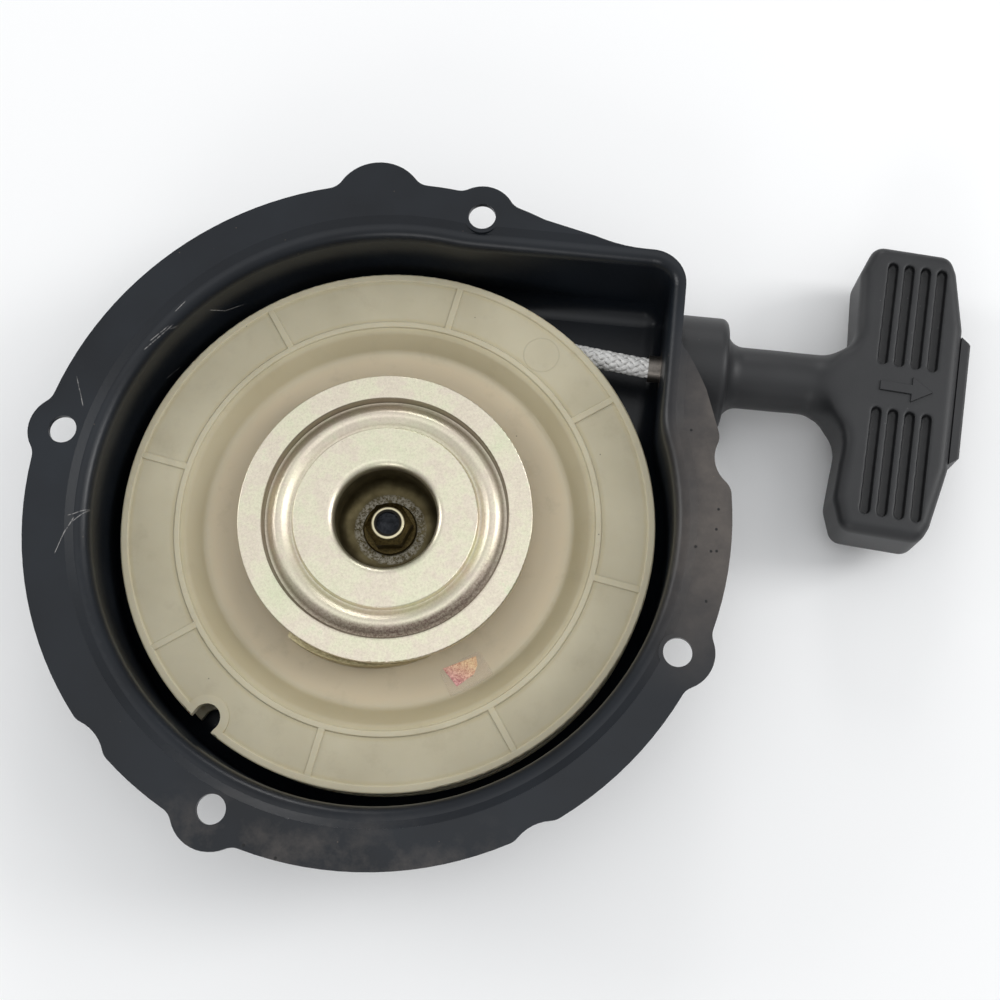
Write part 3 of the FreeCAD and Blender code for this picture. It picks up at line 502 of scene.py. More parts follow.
def plate_finish():
    paint = Finish("yellow zinc")
    spot, x, y, z = paint.place()
    r = radius_of(paint, x, y)
    drift = paint.noise(spot, 16, 3) + paint.noise(spot, 2.5, 4, 0.65) * 0.45
    film = paint.node("ShaderNodeValToRGB", {"stops": CHROMATE}, {"Fac": drift.ramp(0.45, 1.1)})
    grain = paint.noise(spot, 0.22, 3, 0.6)
    matt = paint.noise(spot, 0.7, 5, 0.8)
    pits = paint.noise(spot, 0.45, 5, 0.75).ramp(0.60, 0.70)
    colour = paint.mix(r.band(*CHANNEL, 0.6) * 0.25, film, (0.72, 0.60, 0.50))
    colour = paint.mix(matt.ramp(0.42, 0.62) * 0.36, colour, (0.52, 0.46, 0.35))
    # painted reflection: the channel's outer side towards the eye is darkened to brown, as it mirrors dark
    # surroundings
    side = (x * 0.35 - y * 0.94).ramp(6, 30)
    painted_reflection = (0.55 + matt.ramp(0.4, 0.62) * 0.4) * r.band(*CHANNEL_LOW, 1.2) * side
    colour = paint.mix(painted_reflection, colour, (0.17, 0.11, 0.09))
    # painted shade: a dark line in the step at the channel's outer edge
    colour = paint.mix(r.band(*CHANNEL_EDGE_SHADE, 0.15) * 0.8, colour, (0.14, 0.11, 0.08))
    colour = paint.mix(pits * 0.5, colour, (0.36, 0.30, 0.22))
    # painted shade: the zinc down in the deep cup is darkened to olive
    shaded_cup = 1 - z.ramp(*CUP_TOP)
    cup_shade_tone = paint.mix(paint.noise(spot, 4, 3).ramp(0.35, 0.7), (0.10, 0.08, 0.04), (0.18, 0.15, 0.08))
    colour = paint.mix(shaded_cup, colour, cup_shade_tone)
    rough_ring = paint.noise(spot, 0.8, 5, 0.75).ramp(0.44, 0.56)
    ground = r.band(*GROUND, 0.7) * (1 - z.ramp(-28.2, -27.0)) * rough_ring
    colour = paint.mix(ground, colour, (0.52, 0.49, 0.41))
    roughness = 0.27 + grain * 0.14 + matt * 0.10 + pits * 0.18
    roughness = roughness + painted_reflection * 0.15 + shaded_cup * 0.12 + ground * 0.15
    height = grain - pits * 0.6 + ground * 2 - painted_reflection
    return paint.done(Base_Color=colour, Metallic=1.0, Roughness=roughness,
                      Normal=paint.bump(height, 0.035, 0.5))


zinc_plate = plate_finish()
print("plate finish:", len(zinc_plate.node_tree.nodes), "nodes")

# %% [markdown]
# ## Other metals
# The small metal parts share one recipe, brushed or blasted metal with two tones and a grain,
# and differ in tone and roughness. One function with names for what differs keeps them alike,
# as parts out of one shop are.

# %% Small metal parts
def metal_finish(name, light, dark, rough, grain_mm=0.4, relief_mm=0.02):
    paint = Finish(name)
    spot = paint.place()[0]
    grain = paint.noise(spot, grain_mm, 4, 0.6)
    cloud = paint.noise(spot, 5, 3)
    colour = paint.mix((cloud * 0.6 + grain * 0.5).ramp(0.35, 0.75), dark, light)
    return paint.done(Base_Color=colour, Metallic=1.0, Roughness=rough + grain * 0.15,
                  Normal=paint.bump(grain, relief_mm, 0.5))


black_steel = metal_finish("blackened steel", (0.045, 0.047, 0.053), (0.004, 0.005, 0.006), 0.40, 1.3, 1.0)
spring_steel = metal_finish("spring steel", (0.50, 0.49, 0.46), (0.26, 0.25, 0.24), 0.25)
guide_metal = metal_finish("guide metal", (0.30, 0.27, 0.24), (0.12, 0.11, 0.10), 0.34, 0.6, 0.05)
bronze = metal_finish("sintered bronze", (0.62, 0.40, 0.20), (0.36, 0.21, 0.10), 0.40, 0.25, 0.04)
pawl_metal = metal_finish("stamped pawl", (0.66, 0.58, 0.36), (0.30, 0.25, 0.13), 0.30, 0.8, 0.25)


COLLAR_Z = (-21.6, -20.9)   # heights where the nut's worn collar begins
THREAD_SHADOW_R = (3.9, 4.15)


def nut_finish():
    """Olive brass zinc with a bright worn collar round a thread that is painted dark as shadow."""
    paint = Finish("nut zinc")
    spot, x, y, z = paint.place()
    grain = paint.noise(spot, 0.5, 4, 0.65)
    colour = paint.mix(grain.ramp(0.35, 0.7), (0.035, 0.025, 0.010), (0.12, 0.09, 0.035))
    colour = paint.mix(z.ramp(*COLLAR_Z), colour, (0.74, 0.67, 0.46))
    # painted shadow: the thread inside the collar is darkened
    thread = 1 - radius_of(paint, x, y).ramp(*THREAD_SHADOW_R)
    colour = paint.mix(thread, colour, (0.02, 0.018, 0.015))
    return paint.done(Base_Color=colour, Metallic=1.0, Roughness=0.30 + grain * 0.2,
                  Normal=paint.bump(grain, 0.05, 0.6))


nut_metal = nut_finish()
print("six small metals made")

# %% [markdown]
# ## Moulded grip
# The grip is filled black plastic with a satin skin. A spark-eroded mould leaves a fine even
# grain on it, and hands leave a slight polish, so both the bump and the roughness vary. The
# floors of its grooves are painted darker as shade. The head leans a little, so the finish turns
# x and y into directions along and across the head, where the grooves are straight.

# %% Grip finish
HEAD_PIVOT_X, HEAD_LEAN = 110.0, 4.0   # the head leans by so many degrees about this place
GUIDE_X, GUIDE_Y = 69.0, 55.8          # where the rope turns, and the line it is pulled along
GROOVE_FIRST, GROOVE_PITCH = 25.9, 4.75
GROOVE_HALF = (1.2, 1.5)               # half width of a groove's floor and of its mouth
GROOVES_ACROSS, GROOVES_ALONG = (6.8, 38.4), (24.6, 41.5)
GROOVES_Z = (-34.3, -15.7)             # the floors of the lower and the upper grooves


def grip_finish():
    paint = Finish("satin black plastic")
    spot, x, y, z = paint.place()
    grain = paint.noise(spot, 0.32, 2)
    cloud = paint.noise(spot, 14, 4)
    colour = paint.mix(cloud.ramp(0.3, 0.8), (0.011, 0.0115, 0.013), (0.019, 0.0195, 0.021))
    lean = math.radians(HEAD_LEAN)
    along = (x - HEAD_PIVOT_X) * math.cos(lean) - (y - GUIDE_Y) * math.sin(lean)
    across = ((x - HEAD_PIVOT_X) * math.sin(lean) + (y - GUIDE_Y) * math.cos(lean)).maths("ABSOLUTE")
    row = ((along - GROOVE_FIRST) / GROOVE_PITCH + 0.5).maths("FRACT") - 0.5
    groove_shade = 1 - (row.maths("ABSOLUTE") * GROOVE_PITCH).ramp(*GROOVE_HALF)
    groove_shade = groove_shade * across.band(*GROOVES_ACROSS, 0.3) * along.band(*GROOVES_ALONG, 0.2)
    groove_shade = groove_shade * z.band(*GROOVES_Z, 0.3)
    # painted shade on the floors of the grooves
    colour = paint.mix(groove_shade * 0.6, colour, (0.003, 0.003, 0.0035))
    specks = paint.node("ShaderNodeTexVoronoi", inputs={"Vector": spot, "Scale": 0.2})
    colour = paint.mix((1 - specks.ramp(0.02, 0.05)) * 0.4, colour, (0.12, 0.12, 0.12))
    return paint.done(Base_Color=colour, Roughness=0.40 + cloud * 0.10 + grain * 0.08,
                  Normal=paint.bump(grain + cloud, 0.05, 0.5), Specular_IOR_Level=0.50)


grip_plastic = grip_finish()
print("grip finish:", len(grip_plastic.node_tree.nodes), "nodes")

# %% [markdown]
# ## Rope yarn
# Starter rope is a braid of white polyester yarns over a grey core. Where the rope is seen
# close, its strands are modelled one by one further down, and the finish only has to show
# the yarn: fine fibres and a little dirt. The long stretch that is drawn out of the case is
# a plain tube, so there the same braid is drawn by the finish, as two families of helical
# bands that take turns to lie on top. Every fourth band of one family is grey there, and
# stands for the core that shows between the strands.

# %% Yarn finishes
ROPE_R = 3.0           # rope radius, millimetres
BRAID_ENDS = 8         # strands that run each way round the rope
BRAID_ROW = 1.75       # distance along the rope from one crossing to the next
TRACER_EVERY = 4       # every fourth band is grey
ABOVE_ZERO = 80        # keeps the count of bands positive, and is a multiple of four
WHITE, SHADE, TRACER = (0.88, 0.87, 0.85), (0.34, 0.32, 0.30), (0.22, 0.21, 0.20)


def yarn_finish(name, light, dark):
    paint = Finish(name)
    spot = paint.place()[0]
    fibre = paint.noise(spot, 0.2, 4, 0.7)
    dirt = paint.noise(spot, 3.5, 3).ramp(0.5, 0.8)
    colour = paint.mix(fibre.ramp(0.35, 0.6), dark, light)
    colour = paint.mix(dirt * 0.3, colour, (0.38, 0.36, 0.33))
    return paint.done(Base_Color=colour, Roughness=0.7, Normal=paint.bump(fibre, 0.12, 0.7))


def braid_finish(name, centre_of):
    """Braid drawn on a smooth tube. centre_of gives the side step from the tube's middle, the
    upward step and the distance along it, from x, y and z."""
    paint = Finish(name)
    spot, x, y, z = paint.place()
    side, rise, along = centre_of(paint, x, y, z)
    turn = rise.maths("ARCTAN2", side) * (BRAID_ENDS / math.tau)
    rows = along / (2 * BRAID_ROW)
    left, right = turn + rows, turn - rows
    over = (left.maths("FLOOR") + right.maths("FLOOR")).maths("PINGPONG", 1)
    left_dome = (left.maths("FRACT") - 0.5).maths("ABSOLUTE")
    right_dome = (right.maths("FRACT") - 0.5).maths("ABSOLUTE")
    away = over * left_dome + (1 - over) * right_dome
    fibre = paint.noise(spot, 0.2, 4, 0.7)
    band = (left.maths("FLOOR") + ABOVE_ZERO).maths("MODULO", TRACER_EVERY)
    tracer = band.ramp(TRACER_EVERY - 1.5, TRACER_EVERY - 1.4) * over
    colour = paint.mix(fibre.ramp(0.3, 0.6), (0.60, 0.59, 0.57), WHITE)
    colour = paint.mix(tracer, colour, TRACER)
    colour = paint.mix(away.ramp(0.30, 0.48), colour, SHADE)
    height = 1 - away * 1.6 + fibre * 0.3
    return paint.done(Base_Color=colour, Roughness=0.7, Normal=paint.bump(height, 0.35, 0.8))


white_yarn = yarn_finish("white yarn", WHITE, (0.74, 0.73, 0.71))
grey_yarn = yarn_finish("grey core yarn", (0.27, 0.25, 0.24), (0.12, 0.11, 0.105))
print("two yarns made")

# %% [markdown]
# ## Foil label
# The inspection label is metal foil under a patch of clear film. Crinkled foil throws back
# many small tilted mirrors, which a cell pattern does well: each cell gets its own painted
# glint, a lighter or darker tone of pink or gold, more gold towards the edge that faces the axis.

# %% Foil finish
GOLD_SLANT = 0.35           # how far the line where pink turns to gold leans
GOLD_FADE = (-34.5, -27.5)  # from pink to gold along that direction, millimetres


def foil_finish():
    paint = Finish("pink gold foil")
    spot, x, y, _ = paint.place()
    cells = paint.node("ShaderNodeTexVoronoi", inputs={"Vector": spot, "Scale": 2.6}, out="Color")
    tone = paint.node("ShaderNodeSeparateColor", inputs={0: cells})
    gold = (y + x * GOLD_SLANT).ramp(*GOLD_FADE)
    # painted glints: each cell of the crinkled foil gets a lighter or darker tone
    pink = paint.mix(tone, (0.42, 0.09, 0.12), (0.95, 0.50, 0.48))
    brass = paint.mix(tone, (0.62, 0.28, 0.13), (0.98, 0.76, 0.42))
    return paint.done(Base_Color=paint.mix(gold, pink, brass), Metallic=0.5, Roughness=0.32 + tone * 0.2,
                  Normal=paint.bump(tone, 0.08, 0.8))


def film_finish():
    """Clear film: mostly see-through, with a faint pink cast and a soft shine."""
    paint = Finish("clear film")
    spot = paint.place()[0]
    haze = paint.noise(spot, 5, 3)
    colour = paint.mix(haze, (0.64, 0.50, 0.40), (0.70, 0.58, 0.48))
    return paint.done(Base_Color=colour, Roughness=0.22 + haze * 0.15, Alpha=0.05 + haze * 0.08)


foil = foil_finish()
film = film_finish()
print("foil and film made")

# %% [markdown]
# ## Paint on the frame's parts
# The frame names a slot for each of its parts, such as nylon or zinc plate. A table from slot
# to finish paints them all in one loop, so a part that is added later needs no new line here.

# %% Paint the frame's own nodes
FINISH_OF_SLOT = {
    "case_coat": case_coat, "dark_steel": black_steel, "spring_steel": spring_steel,
    "zinc_plate": zinc_plate, "nut_plate": nut_metal, "guide_metal": guide_metal, "nylon": nylon,
    "bush_bronze": bronze, "rope": white_yarn, "foil": foil, "pawl_steel": pawl_metal,
    "grip_plastic": grip_plastic,
}
for part in frame["record"]["subparts"]:
    for holder in frame["nodes"][part["node"]].material_slots:
        holder.material = FINISH_OF_SLOT[part["material_slot"]]

# %% [markdown]
# ## Rope from the reel to the guide
# The rope leaves the outermost turn of the reel on a straight tangent and slips through a
# small metal guide, where it turns to the line that it is pulled along. Its middle is a
# smooth spline through a few points. The spline is read back as a list of close
# points, because a mesh has to follow it ring by ring.

# %% Route of the tight rope
LAYER_R = 63.0         # middle of the outermost turn, millimetres
LAYER_FROM = 150.0     # where the modelled part of that turn starts, degrees
LAYER_CORNERS = 4      # control points along that turn
ROPE_Z = -24.5
BEND_RUN, BEND_HALF = 8.0, 2.4     # distances of the points before and beside the guide's bend
GRIP_START, GRIP_Z = 77.4, -25.0
LINE_STEPS = 24        # points read back from each stretch of the spline


def spline_points(name, route, steps):
    """Points along a smooth curve that has the route as its control points."""
    curve = bpy.data.curves.new(name, "CURVE")
    curve.dimensions = "3D"
    curve.resolution_u = steps
    spline = curve.splines.new("NURBS")
    spline.points.add(len(route) - 1)
    for point, place in zip(spline.points, route):
        point.co = (*place, 1)
    spline.order_u = 3
    spline.use_endpoint_u = True
    holder = bpy.data.objects.new(name, curve)
    bpy.context.scene.collection.objects.link(holder)
    bpy.context.view_layer.update()
    mesh = bpy.data.meshes.new_from_object(holder.evaluated_get(bpy.context.evaluated_depsgraph_get()))
    points = [vertex.co.copy() for vertex in mesh.vertices]
    bpy.data.objects.remove(holder)
    bpy.data.meshes.remove(mesh)
    return points


def lead_route():
    """Control points: round the outermost turn, off it on a tangent, and through the guide."""
    leave = math.degrees(math.atan2(GUIDE_Y, GUIDE_X) + math.acos(LAYER_R / math.hypot(GUIDE_X, GUIDE_Y)))
    half = (LAYER_FROM - leave) / LAYER_CORNERS / 2
    outside = LAYER_R / math.cos(math.radians(half))
    route = [polar(LAYER_R, LAYER_FROM, ROPE_Z)]
    route += [polar(outside, LAYER_FROM - half * (2 * k + 1), ROPE_Z) for k in range(LAYER_CORNERS)]
    route.append(polar(LAYER_R, leave, ROPE_Z))
    bend = Vector((GUIDE_X, GUIDE_Y, ROPE_Z))
    back = (route[-1] - bend).normalized()
    route += [route[-1] - back * BEND_RUN, bend + back * BEND_RUN, bend + back * BEND_HALF]
    route += [bend + Vector((BEND_HALF, 0, 0)), Vector((GRIP_START, GUIDE_Y, ROPE_Z))]
    return [point * MM for point in route]


lead_line = spline_points("lead line", lead_route(), LINE_STEPS)
lead_length = sum((b - a).length for a, b in zip(lead_line, lead_line[1:]))
print("lead:", len(lead_line), "points,", round(lead_length * 1000, 1), "mm")

# %% [markdown]
# ## Braid on the tight rope
# This stretch is close to the eye, so its braid is real geometry: eight strands go round to
# the left and eight to the right. A strand's distance from the middle rises and falls along
# a cosine, and the two families have opposite signs, which is all that a plain weave on a
# tube needs. A grey core fills the tube, so the gaps between strands are not holes.

# %% Braid a rope along the points
STRAND_MIDDLE = 2.42   # mean distance of a strand from the rope's middle, millimetres
STRAND_LIFT = 0.22     # how far it rises over and dips under
STRAND_THICK, STRAND_WIDE = 0.38, 0.80
ROW_STEPS = 5          # mesh rings from one crossing to the next
STRAND_SIDES = 6
CORE_R, CORE_SIDES = 2.3, 12


def walk_line(points, step):
    """Places and directions at even steps along the points."""
    spots, due, gone = [], 0.0, 0.0
    for a, b in zip(points, points[1:]):
        span = (b - a).length
        while due <= gone + span:
            spots.append((a.lerp(b, (due - gone) / span), (b - a) / span))
            due += step
        gone += span
    return spots


def add_tube(verts, faces, rings, closed_ends=True):
    """Adds a tube through rings of points that all have the same count."""
    first, count = len(verts), len(rings[0])
    verts.extend(point for loop in rings for point in loop)
    for k in range(len(rings) - 1):
        for j in range(count):
            a, b = first + k * count + j, first + k * count + (j + 1) % count
            faces.append((a, b, b + count, a + count))
    if closed_ends:
        last = first + (len(rings) - 1) * count
        faces.append(tuple(first + j for j in reversed(range(count))))
        faces.append(tuple(last + j for j in range(count)))


def circle_ring(centre, side, up, radius, count):
    """Points of a circle that lies across a tube."""
    turns = [math.tau * k / count for k in range(count)]
    return [centre + side * (radius * math.cos(t)) + up * (radius * math.sin(t)) for t in turns]


def braided_rope(name, points):
    """A mesh of sixteen white strands over a grey core, which shows between them."""
    up = Vector((0, 0, 1))
    spots = walk_line(points, BRAID_ROW * MM / ROW_STEPS)
    verts, faces, greys = [], [], []
    for hand in (1, -1):
        for strand in range(BRAID_ENDS):
            rings = []
            for k, (place, ahead) in enumerate(spots):
                side = ahead.cross(up).normalized()
                phase = math.pi * k / ROW_STEPS
                angle = hand * phase / BRAID_ENDS + math.tau * strand / BRAID_ENDS
                out = side * math.cos(angle) + up * math.sin(angle)
                round_way = (up * math.cos(angle) - side * math.sin(angle)) * hand
                lean = STRAND_MIDDLE * math.pi / BRAID_ENDS / BRAID_ROW
                forward = (ahead + round_way * lean).normalized()
                across = forward.cross(out)
                middle = place + out * ((STRAND_MIDDLE + hand * STRAND_LIFT * math.cos(phase)) * MM)
                turns = [math.tau * j / STRAND_SIDES for j in range(STRAND_SIDES)]
                rings.append([middle + across * (STRAND_WIDE * MM * math.cos(t))
                              + out * (STRAND_THICK * MM * math.sin(t)) for t in turns])
            add_tube(verts, faces, rings)
    greys += [0] * len(faces)
    core = [circle_ring(place, ahead.cross(up).normalized(), up, CORE_R * MM, CORE_SIDES)
            for place, ahead in spots]
    add_tube(verts, faces, core)
    greys += [1] * (len(faces) - len(greys))
    mesh = bpy.data.meshes.new(name)
    mesh.from_pydata(verts, [], faces)
    rope = new_piece(name, "housing", mesh, white_yarn)
    mesh.materials.append(grey_yarn)
    mesh.polygons.foreach_set("material_index", greys)
    mesh.polygons.foreach_set("use_smooth", [True] * len(faces))
    mesh.update()
    return rope


braided_lead = braided_rope("braided_lead", lead_line)
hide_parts("rope_lead")
print("braided lead:", len(braided_lead.data.polygons), "faces")

# %% [markdown]
# ## Rope through the grip
# From the guide the rope runs on through the grip to its knot. When the grip is pulled this
# stretch is what grows between grip and case, so the tube has close rings over the part
# near the guide that would spread out along the straight line. A tube keeps its round shape
# when it is spread like that, and a braid drawn in the finish keeps its scale, while modelled
# strands would be pulled thin.

# %% Pulled stretch of the rope
TAIL_BLEND = (78.0, 84.0)   # the stretch in x that spreads out when the grip is pulled
SPREAD_RINGS = 24           # rings of the tube in that stretch
RING_STEP, RINGS_AFTER = 2.5, 25
TUBE_SIDES = 24
LEAN_REACH = 12.0           # the lean comes in from so far before its place to so far behind
KNOT_X = 149.0


def tail_middle(x):
    """The rope's middle in the grip: straight, then leaning with the head."""
    run = x - (HEAD_PIVOT_X - LEAN_REACH)
    slope = math.tan(math.radians(HEAD_LEAN))
    if run <= 0:
        fall = 0.0
    elif run < 2 * LEAN_REACH:
        fall = slope * run ** 2 / (4 * LEAN_REACH)
    else:
        fall = slope * (run - LEAN_REACH)
    return Vector((x, GUIDE_Y - fall, ROPE_Z)) * MM


def rope_around_x(_, x, y, z):
    """Steps from the middle of a rope that runs along x, and the distance along it."""
    return y - GUIDE_Y, z - ROPE_Z, x


def pulled_rope():
    near, far = TAIL_BLEND
    stations = [GRIP_START]
    stations += [near + (far - near) * k / SPREAD_RINGS for k in range(SPREAD_RINGS + 1)]
    stations += [far + RING_STEP * (k + 1) for k in range(RINGS_AFTER)]
    stations += [KNOT_X]
    verts, faces = [], []
    side, up = Vector((0, 1, 0)), Vector((0, 0, 1))
    rings = [circle_ring(tail_middle(x), side, up, ROPE_R * MM, TUBE_SIDES) for x in stations]
    add_tube(verts, faces, rings)
    mesh = bpy.data.meshes.new("pulled_rope")
    mesh.from_pydata(verts, [], faces)
    mesh.polygons.foreach_set("use_smooth", [True] * len(faces))
    piece = bpy.data.objects.new("pulled_rope", mesh)
    bpy.context.scene.collection.objects.link(piece)
    mesh.materials.append(braid_finish("braid along the rope", rope_around_x))
    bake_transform(piece)
    return piece


pulled = pulled_rope()
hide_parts("rope_tail")
print("pulled stretch:", len(pulled.data.vertices), "points")

# %% [markdown]
# ## Turns on the reel
# Under the outermost turn two more turns lie on the drum. Little of them is seen, between
# the reel's two flanges, so two closed rings with the drawn braid are enough. The finish
# finds the nearer of the two turns from the radius, and measures along the turn by the angle.

# %% Wound rope
TURN_RADII = (51.05, 56.65)
COIL_Z = -27.65
COIL_ROPE_R = 2.8      # pressed a little thinner than the free rope
COIL_RINGS, COIL_SIDES = 96, 16
SAME_POINT = 0.01      # points nearer than this are one point, millimetres


def rope_around_axis(paint, x, y, z):
    """Steps from the middle of the nearer turn, and the distance along the outer one."""
    r = radius_of(paint, x, y)
    inner, outer = TURN_RADII
    which = r.ramp((inner + outer) / 2 - 0.01, (inner + outer) / 2 + 0.01)
    side = r - (inner + which * (outer - inner))
    return side, z - COIL_Z, y.maths("ARCTAN2", x) * outer


def wound_rope():
    verts, faces = [], []
    up = Vector((0, 0, 1))
    for radius in TURN_RADII:
        rings = []
        for k in range(COIL_RINGS):
            angle = 360 * k / COIL_RINGS
            middle = polar(radius, angle, COIL_Z) * MM
            rings.append(circle_ring(middle, polar(1, angle), up, COIL_ROPE_R * MM, COIL_SIDES))
        add_tube(verts, faces, rings + rings[:1], closed_ends=False)
    mesh = bpy.data.meshes.new("wound_rope")
    mesh.from_pydata(verts, [], faces)
    mesh.polygons.foreach_set("use_smooth", [True] * len(faces))
    clean = bmesh.new()
    clean.from_mesh(mesh)
    bmesh.ops.remove_doubles(clean, verts=clean.verts, dist=SAME_POINT * MM)
    bmesh.ops.recalc_face_normals(clean, faces=clean.faces)
    clean.to_mesh(mesh)
    clean.free()
    braid = braid_finish("braid round the drum", rope_around_axis)
    return new_piece("wound_rope", "reel", mesh, braid)


wound = wound_rope()
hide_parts("rope_coil")
print("wound rope:", len(wound.data.polygons), "faces")

# %% [markdown]
# ## Clear film over the label
# A thin patch of film with rounded corners covers the foil. Its outline is four bent corners,
# and it is extruded by a little under a tenth of a millimetre, because a film without
# thickness has no edge to catch the light.

# %% Film patch
FILM_CORNERS = [(19.7, -40.4), (30.0, -33.1), (35.0, -39.6), (24.4, -48.2)]
FILM_THICK = 0.08
FILM_GAP = 0.02        # clear of the foil, so that no two faces share a plane
FILM_BEVEL = 0.02
FILM_CORNER_R = 1.0
FILM_STEPS = 5
BEVEL_STEPS = 3


def rounded_outline(corners, radius, steps):
    """A closed outline whose corners are quadratic bends of about the given radius."""
    outline = []
    for k, corner in enumerate(corners):
        here, before = Vector(corner), Vector(corners[k - 1])
        after = Vector(corners[(k + 1) % len(corners)])
        enter = here + (before - here).normalized() * radius
        leave = here + (after - here).normalized() * radius
        for j in range(steps + 1):
            t = j / steps
            outline.append(enter.lerp(here, t).lerp(here.lerp(leave, t), t))
    return outline


def slab(name, outline, low, high, bevel):
    """A flat plate from an outline in millimetres, with a rounded edge round its top."""
    shape = bmesh.new()
    bottom = [shape.verts.new(Vector((x, y, low)) * MM) for x, y in outline]
    floor_face = shape.faces.new(bottom)
    grown = bmesh.ops.extrude_face_region(shape, geom=[floor_face])["geom"]
    top_verts = [v for v in grown if isinstance(v, bmesh.types.BMVert)]
    bmesh.ops.translate(shape, verts=top_verts, vec=(0, 0, (high - low) * MM))
    rim = [edge for edge in shape.edges if all(v in top_verts for v in edge.verts)]
    bmesh.ops.bevel(shape, geom=rim, offset=bevel * MM, segments=BEVEL_STEPS, affect="EDGES", profile=0.5)
    bmesh.ops.recalc_face_normals(shape, faces=shape.faces)
    mesh = bpy.data.meshes.new(name)
    shape.to_mesh(mesh)
    shape.free()
    return mesh


label_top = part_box("inspection_label")[1].z / MM
film_low = label_top + FILM_GAP
film_outline = rounded_outline(FILM_CORNERS, FILM_CORNER_R, FILM_STEPS)
film_mesh = slab("label_film", film_outline, film_low, film_low + FILM_THICK, FILM_BEVEL)
label_film = new_piece("label_film", "reel", film_mesh, film)
print(label_film.name, "over a label whose top is at z", round(label_top, 2), "mm")

# %% [markdown]
# ## Soft moulded grip
# A solid modeller leaves a hard line where the round neck meets the flat head, and the real
# moulding has none: the neck swells into the head like one piece of clay. So the grip's
# solid is copied, rebuilt as an even skin of small squares, and relaxed. Each round moves a
# point towards the middle of its neighbours. Everywhere gets a few rounds, which takes the
# steps off the skin, and the place where neck meets head gets many.

# %% Relaxed copy of the grip
SKIN = 0.34            # side of one square of the skin, millimetres
EVEN_ROUNDS, EVEN_STRENGTH = 2, 0.5   # the few rounds that every point gets
SOFT_FROM, SOFT_TO = -3.0, 20.0   # the relaxed stretch, from the place where the head leans
SOFT_HALF = 24.0                  # and its reach to each side
SOFT_EDGE = 6.0                   # it fades in and out over this distance
SOFT_ROUNDS, SOFT_STRENGTH = 70, 0.6


def even_skin(source, side):
    """A copy of an object's mesh, rebuilt of even squares."""
    copy = bpy.data.objects.new("skin", source.data.copy())
    copy.matrix_world = source.matrix_world
    bpy.context.scene.collection.objects.link(copy)
    remesh = copy.modifiers.new("skin", "REMESH")
    remesh.mode = "VOXEL"
    remesh.voxel_size = side * MM
    bpy.context.view_layer.update()
    mesh = bpy.data.meshes.new_from_object(copy.evaluated_get(bpy.context.evaluated_depsgraph_get()))
    mesh.transform(source.matrix_world)
    bpy.data.objects.remove(copy)
    return mesh


def in_head(point):
    """A point in the head's own directions: along the neck, across it and up."""
    lean = Matrix.Rotation(math.radians(HEAD_LEAN), 3, "Z")
    return lean @ (point / MM - Vector((HEAD_PIVOT_X, GUIDE_Y, GRIP_Z)))


def softness(point):
    """1 in the middle of the relaxed stretch and 0 at its edges."""
    along, across, _ = in_head(point)
    reach = min(along - SOFT_FROM, SOFT_TO - along, SOFT_HALF - abs(across))
    return max(0.0, min(1.0, reach / SOFT_EDGE))


def relax(mesh, rounds, strength):
    """Moves each point towards its neighbours' middle by its own strength, again and again."""
    count = len(mesh.vertices)
    places = np.empty(count * 3)
    mesh.vertices.foreach_get("co", places)
    places = places.reshape(-1, 3)
    ends = np.empty(len(mesh.edges) * 2, dtype=int)
    mesh.edges.foreach_get("vertices", ends)
    ends = ends.reshape(-1, 2)
    both = np.concatenate([ends, ends[:, ::-1]])
    links = np.bincount(both[:, 0], minlength=count)[:, None]
    for _ in range(rounds):
        sums = [np.bincount(both[:, 0], places[both[:, 1], axis], count) for axis in range(3)]
        places += strength[:, None] * (np.stack(sums, axis=1) / links - places)
    mesh.vertices.foreach_set("co", places.ravel())


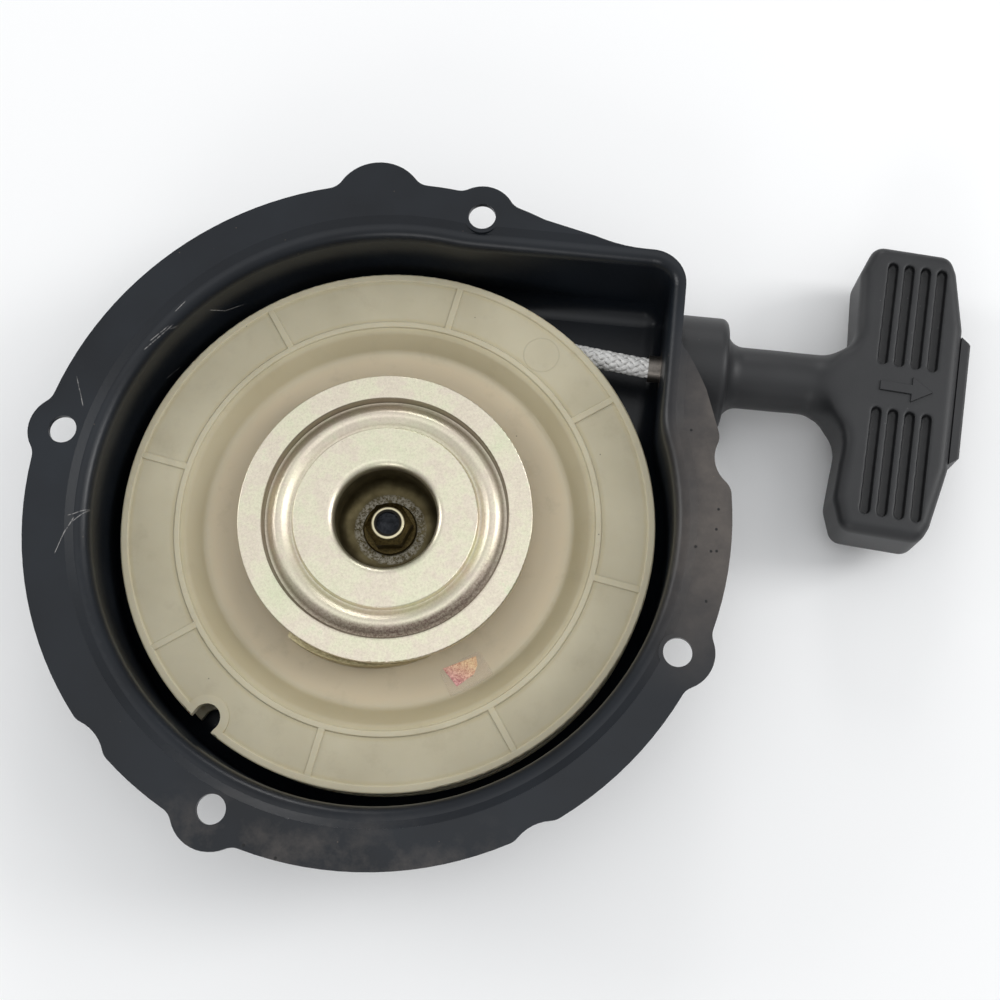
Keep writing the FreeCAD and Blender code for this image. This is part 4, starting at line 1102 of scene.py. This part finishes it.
def soft_grip():
    mesh = even_skin(frame["nodes"]["grip"], SKIN)
    mesh.name = "soft_grip"
    relax(mesh, EVEN_ROUNDS, np.full(len(mesh.vertices), EVEN_STRENGTH))
    neck_to_head = np.array([softness(vertex.co) for vertex in mesh.vertices])
    relax(mesh, SOFT_ROUNDS, neck_to_head * SOFT_STRENGTH)
    mesh.polygons.foreach_set("use_smooth", [True] * len(mesh.polygons))
    mesh.update()
    grip = new_piece("soft_grip", "handle", mesh, grip_plastic)
    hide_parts("grip")
    return grip


grip_skin = soft_grip()
print("soft grip:", len(grip_skin.data.polygons), "faces")

# %% [markdown]
# ## Arrow on the grip
# Between its two sets of grooves the grip carries a raised mark. Here it is a plain arrow
# that shows which way to pull, moulded with the grip and so in the same plastic. It is a
# flat plate, sunk slightly into the face, with a rounded top edge. Its outline is half an
# arrow and the mirror image of that half.

# %% Raised arrow
FACE_Z = -15.0         # the face of the grip's head
ARROW_AT = 33.4        # its middle, from the place where the head leans
ARROW_LONG, ARROW_WIDE, ARROW_SHAFT = 15.0, 7.6, 2.8
ARROW_HEAD = 6.0
ARROW_SUNK, ARROW_RISE = 0.3, 0.6   # below and above the face
ARROW_BEVEL = 0.15


def arrow_outline():
    tail, neck, tip = -ARROW_LONG / 2, ARROW_LONG / 2 - ARROW_HEAD, ARROW_LONG / 2
    half, shaft = ARROW_WIDE / 2, ARROW_SHAFT / 2
    lower = [(tail, -shaft), (neck, -shaft), (neck, -half)]
    local = lower + [(tip, 0)] + [(u, -v) for u, v in reversed(lower)]
    turn = math.radians(-HEAD_LEAN)
    along = Vector((math.cos(turn), math.sin(turn)))
    across = Vector((-math.sin(turn), math.cos(turn)))
    pivot = Vector((HEAD_PIVOT_X, GUIDE_Y))
    return [pivot + along * (ARROW_AT + u) + across * v for u, v in local]


arrow_low, arrow_high = FACE_Z - ARROW_SUNK, FACE_Z + ARROW_RISE
arrow_mesh = slab("pull_arrow", arrow_outline(), arrow_low, arrow_high, ARROW_BEVEL)
pull_arrow = new_piece("pull_arrow", "handle", arrow_mesh, grip_plastic)
print(pull_arrow.name, "has", len(arrow_mesh.polygons), "faces")

# %% [markdown]
# ## End
# The visual model has to stay inside the box of the solid model.
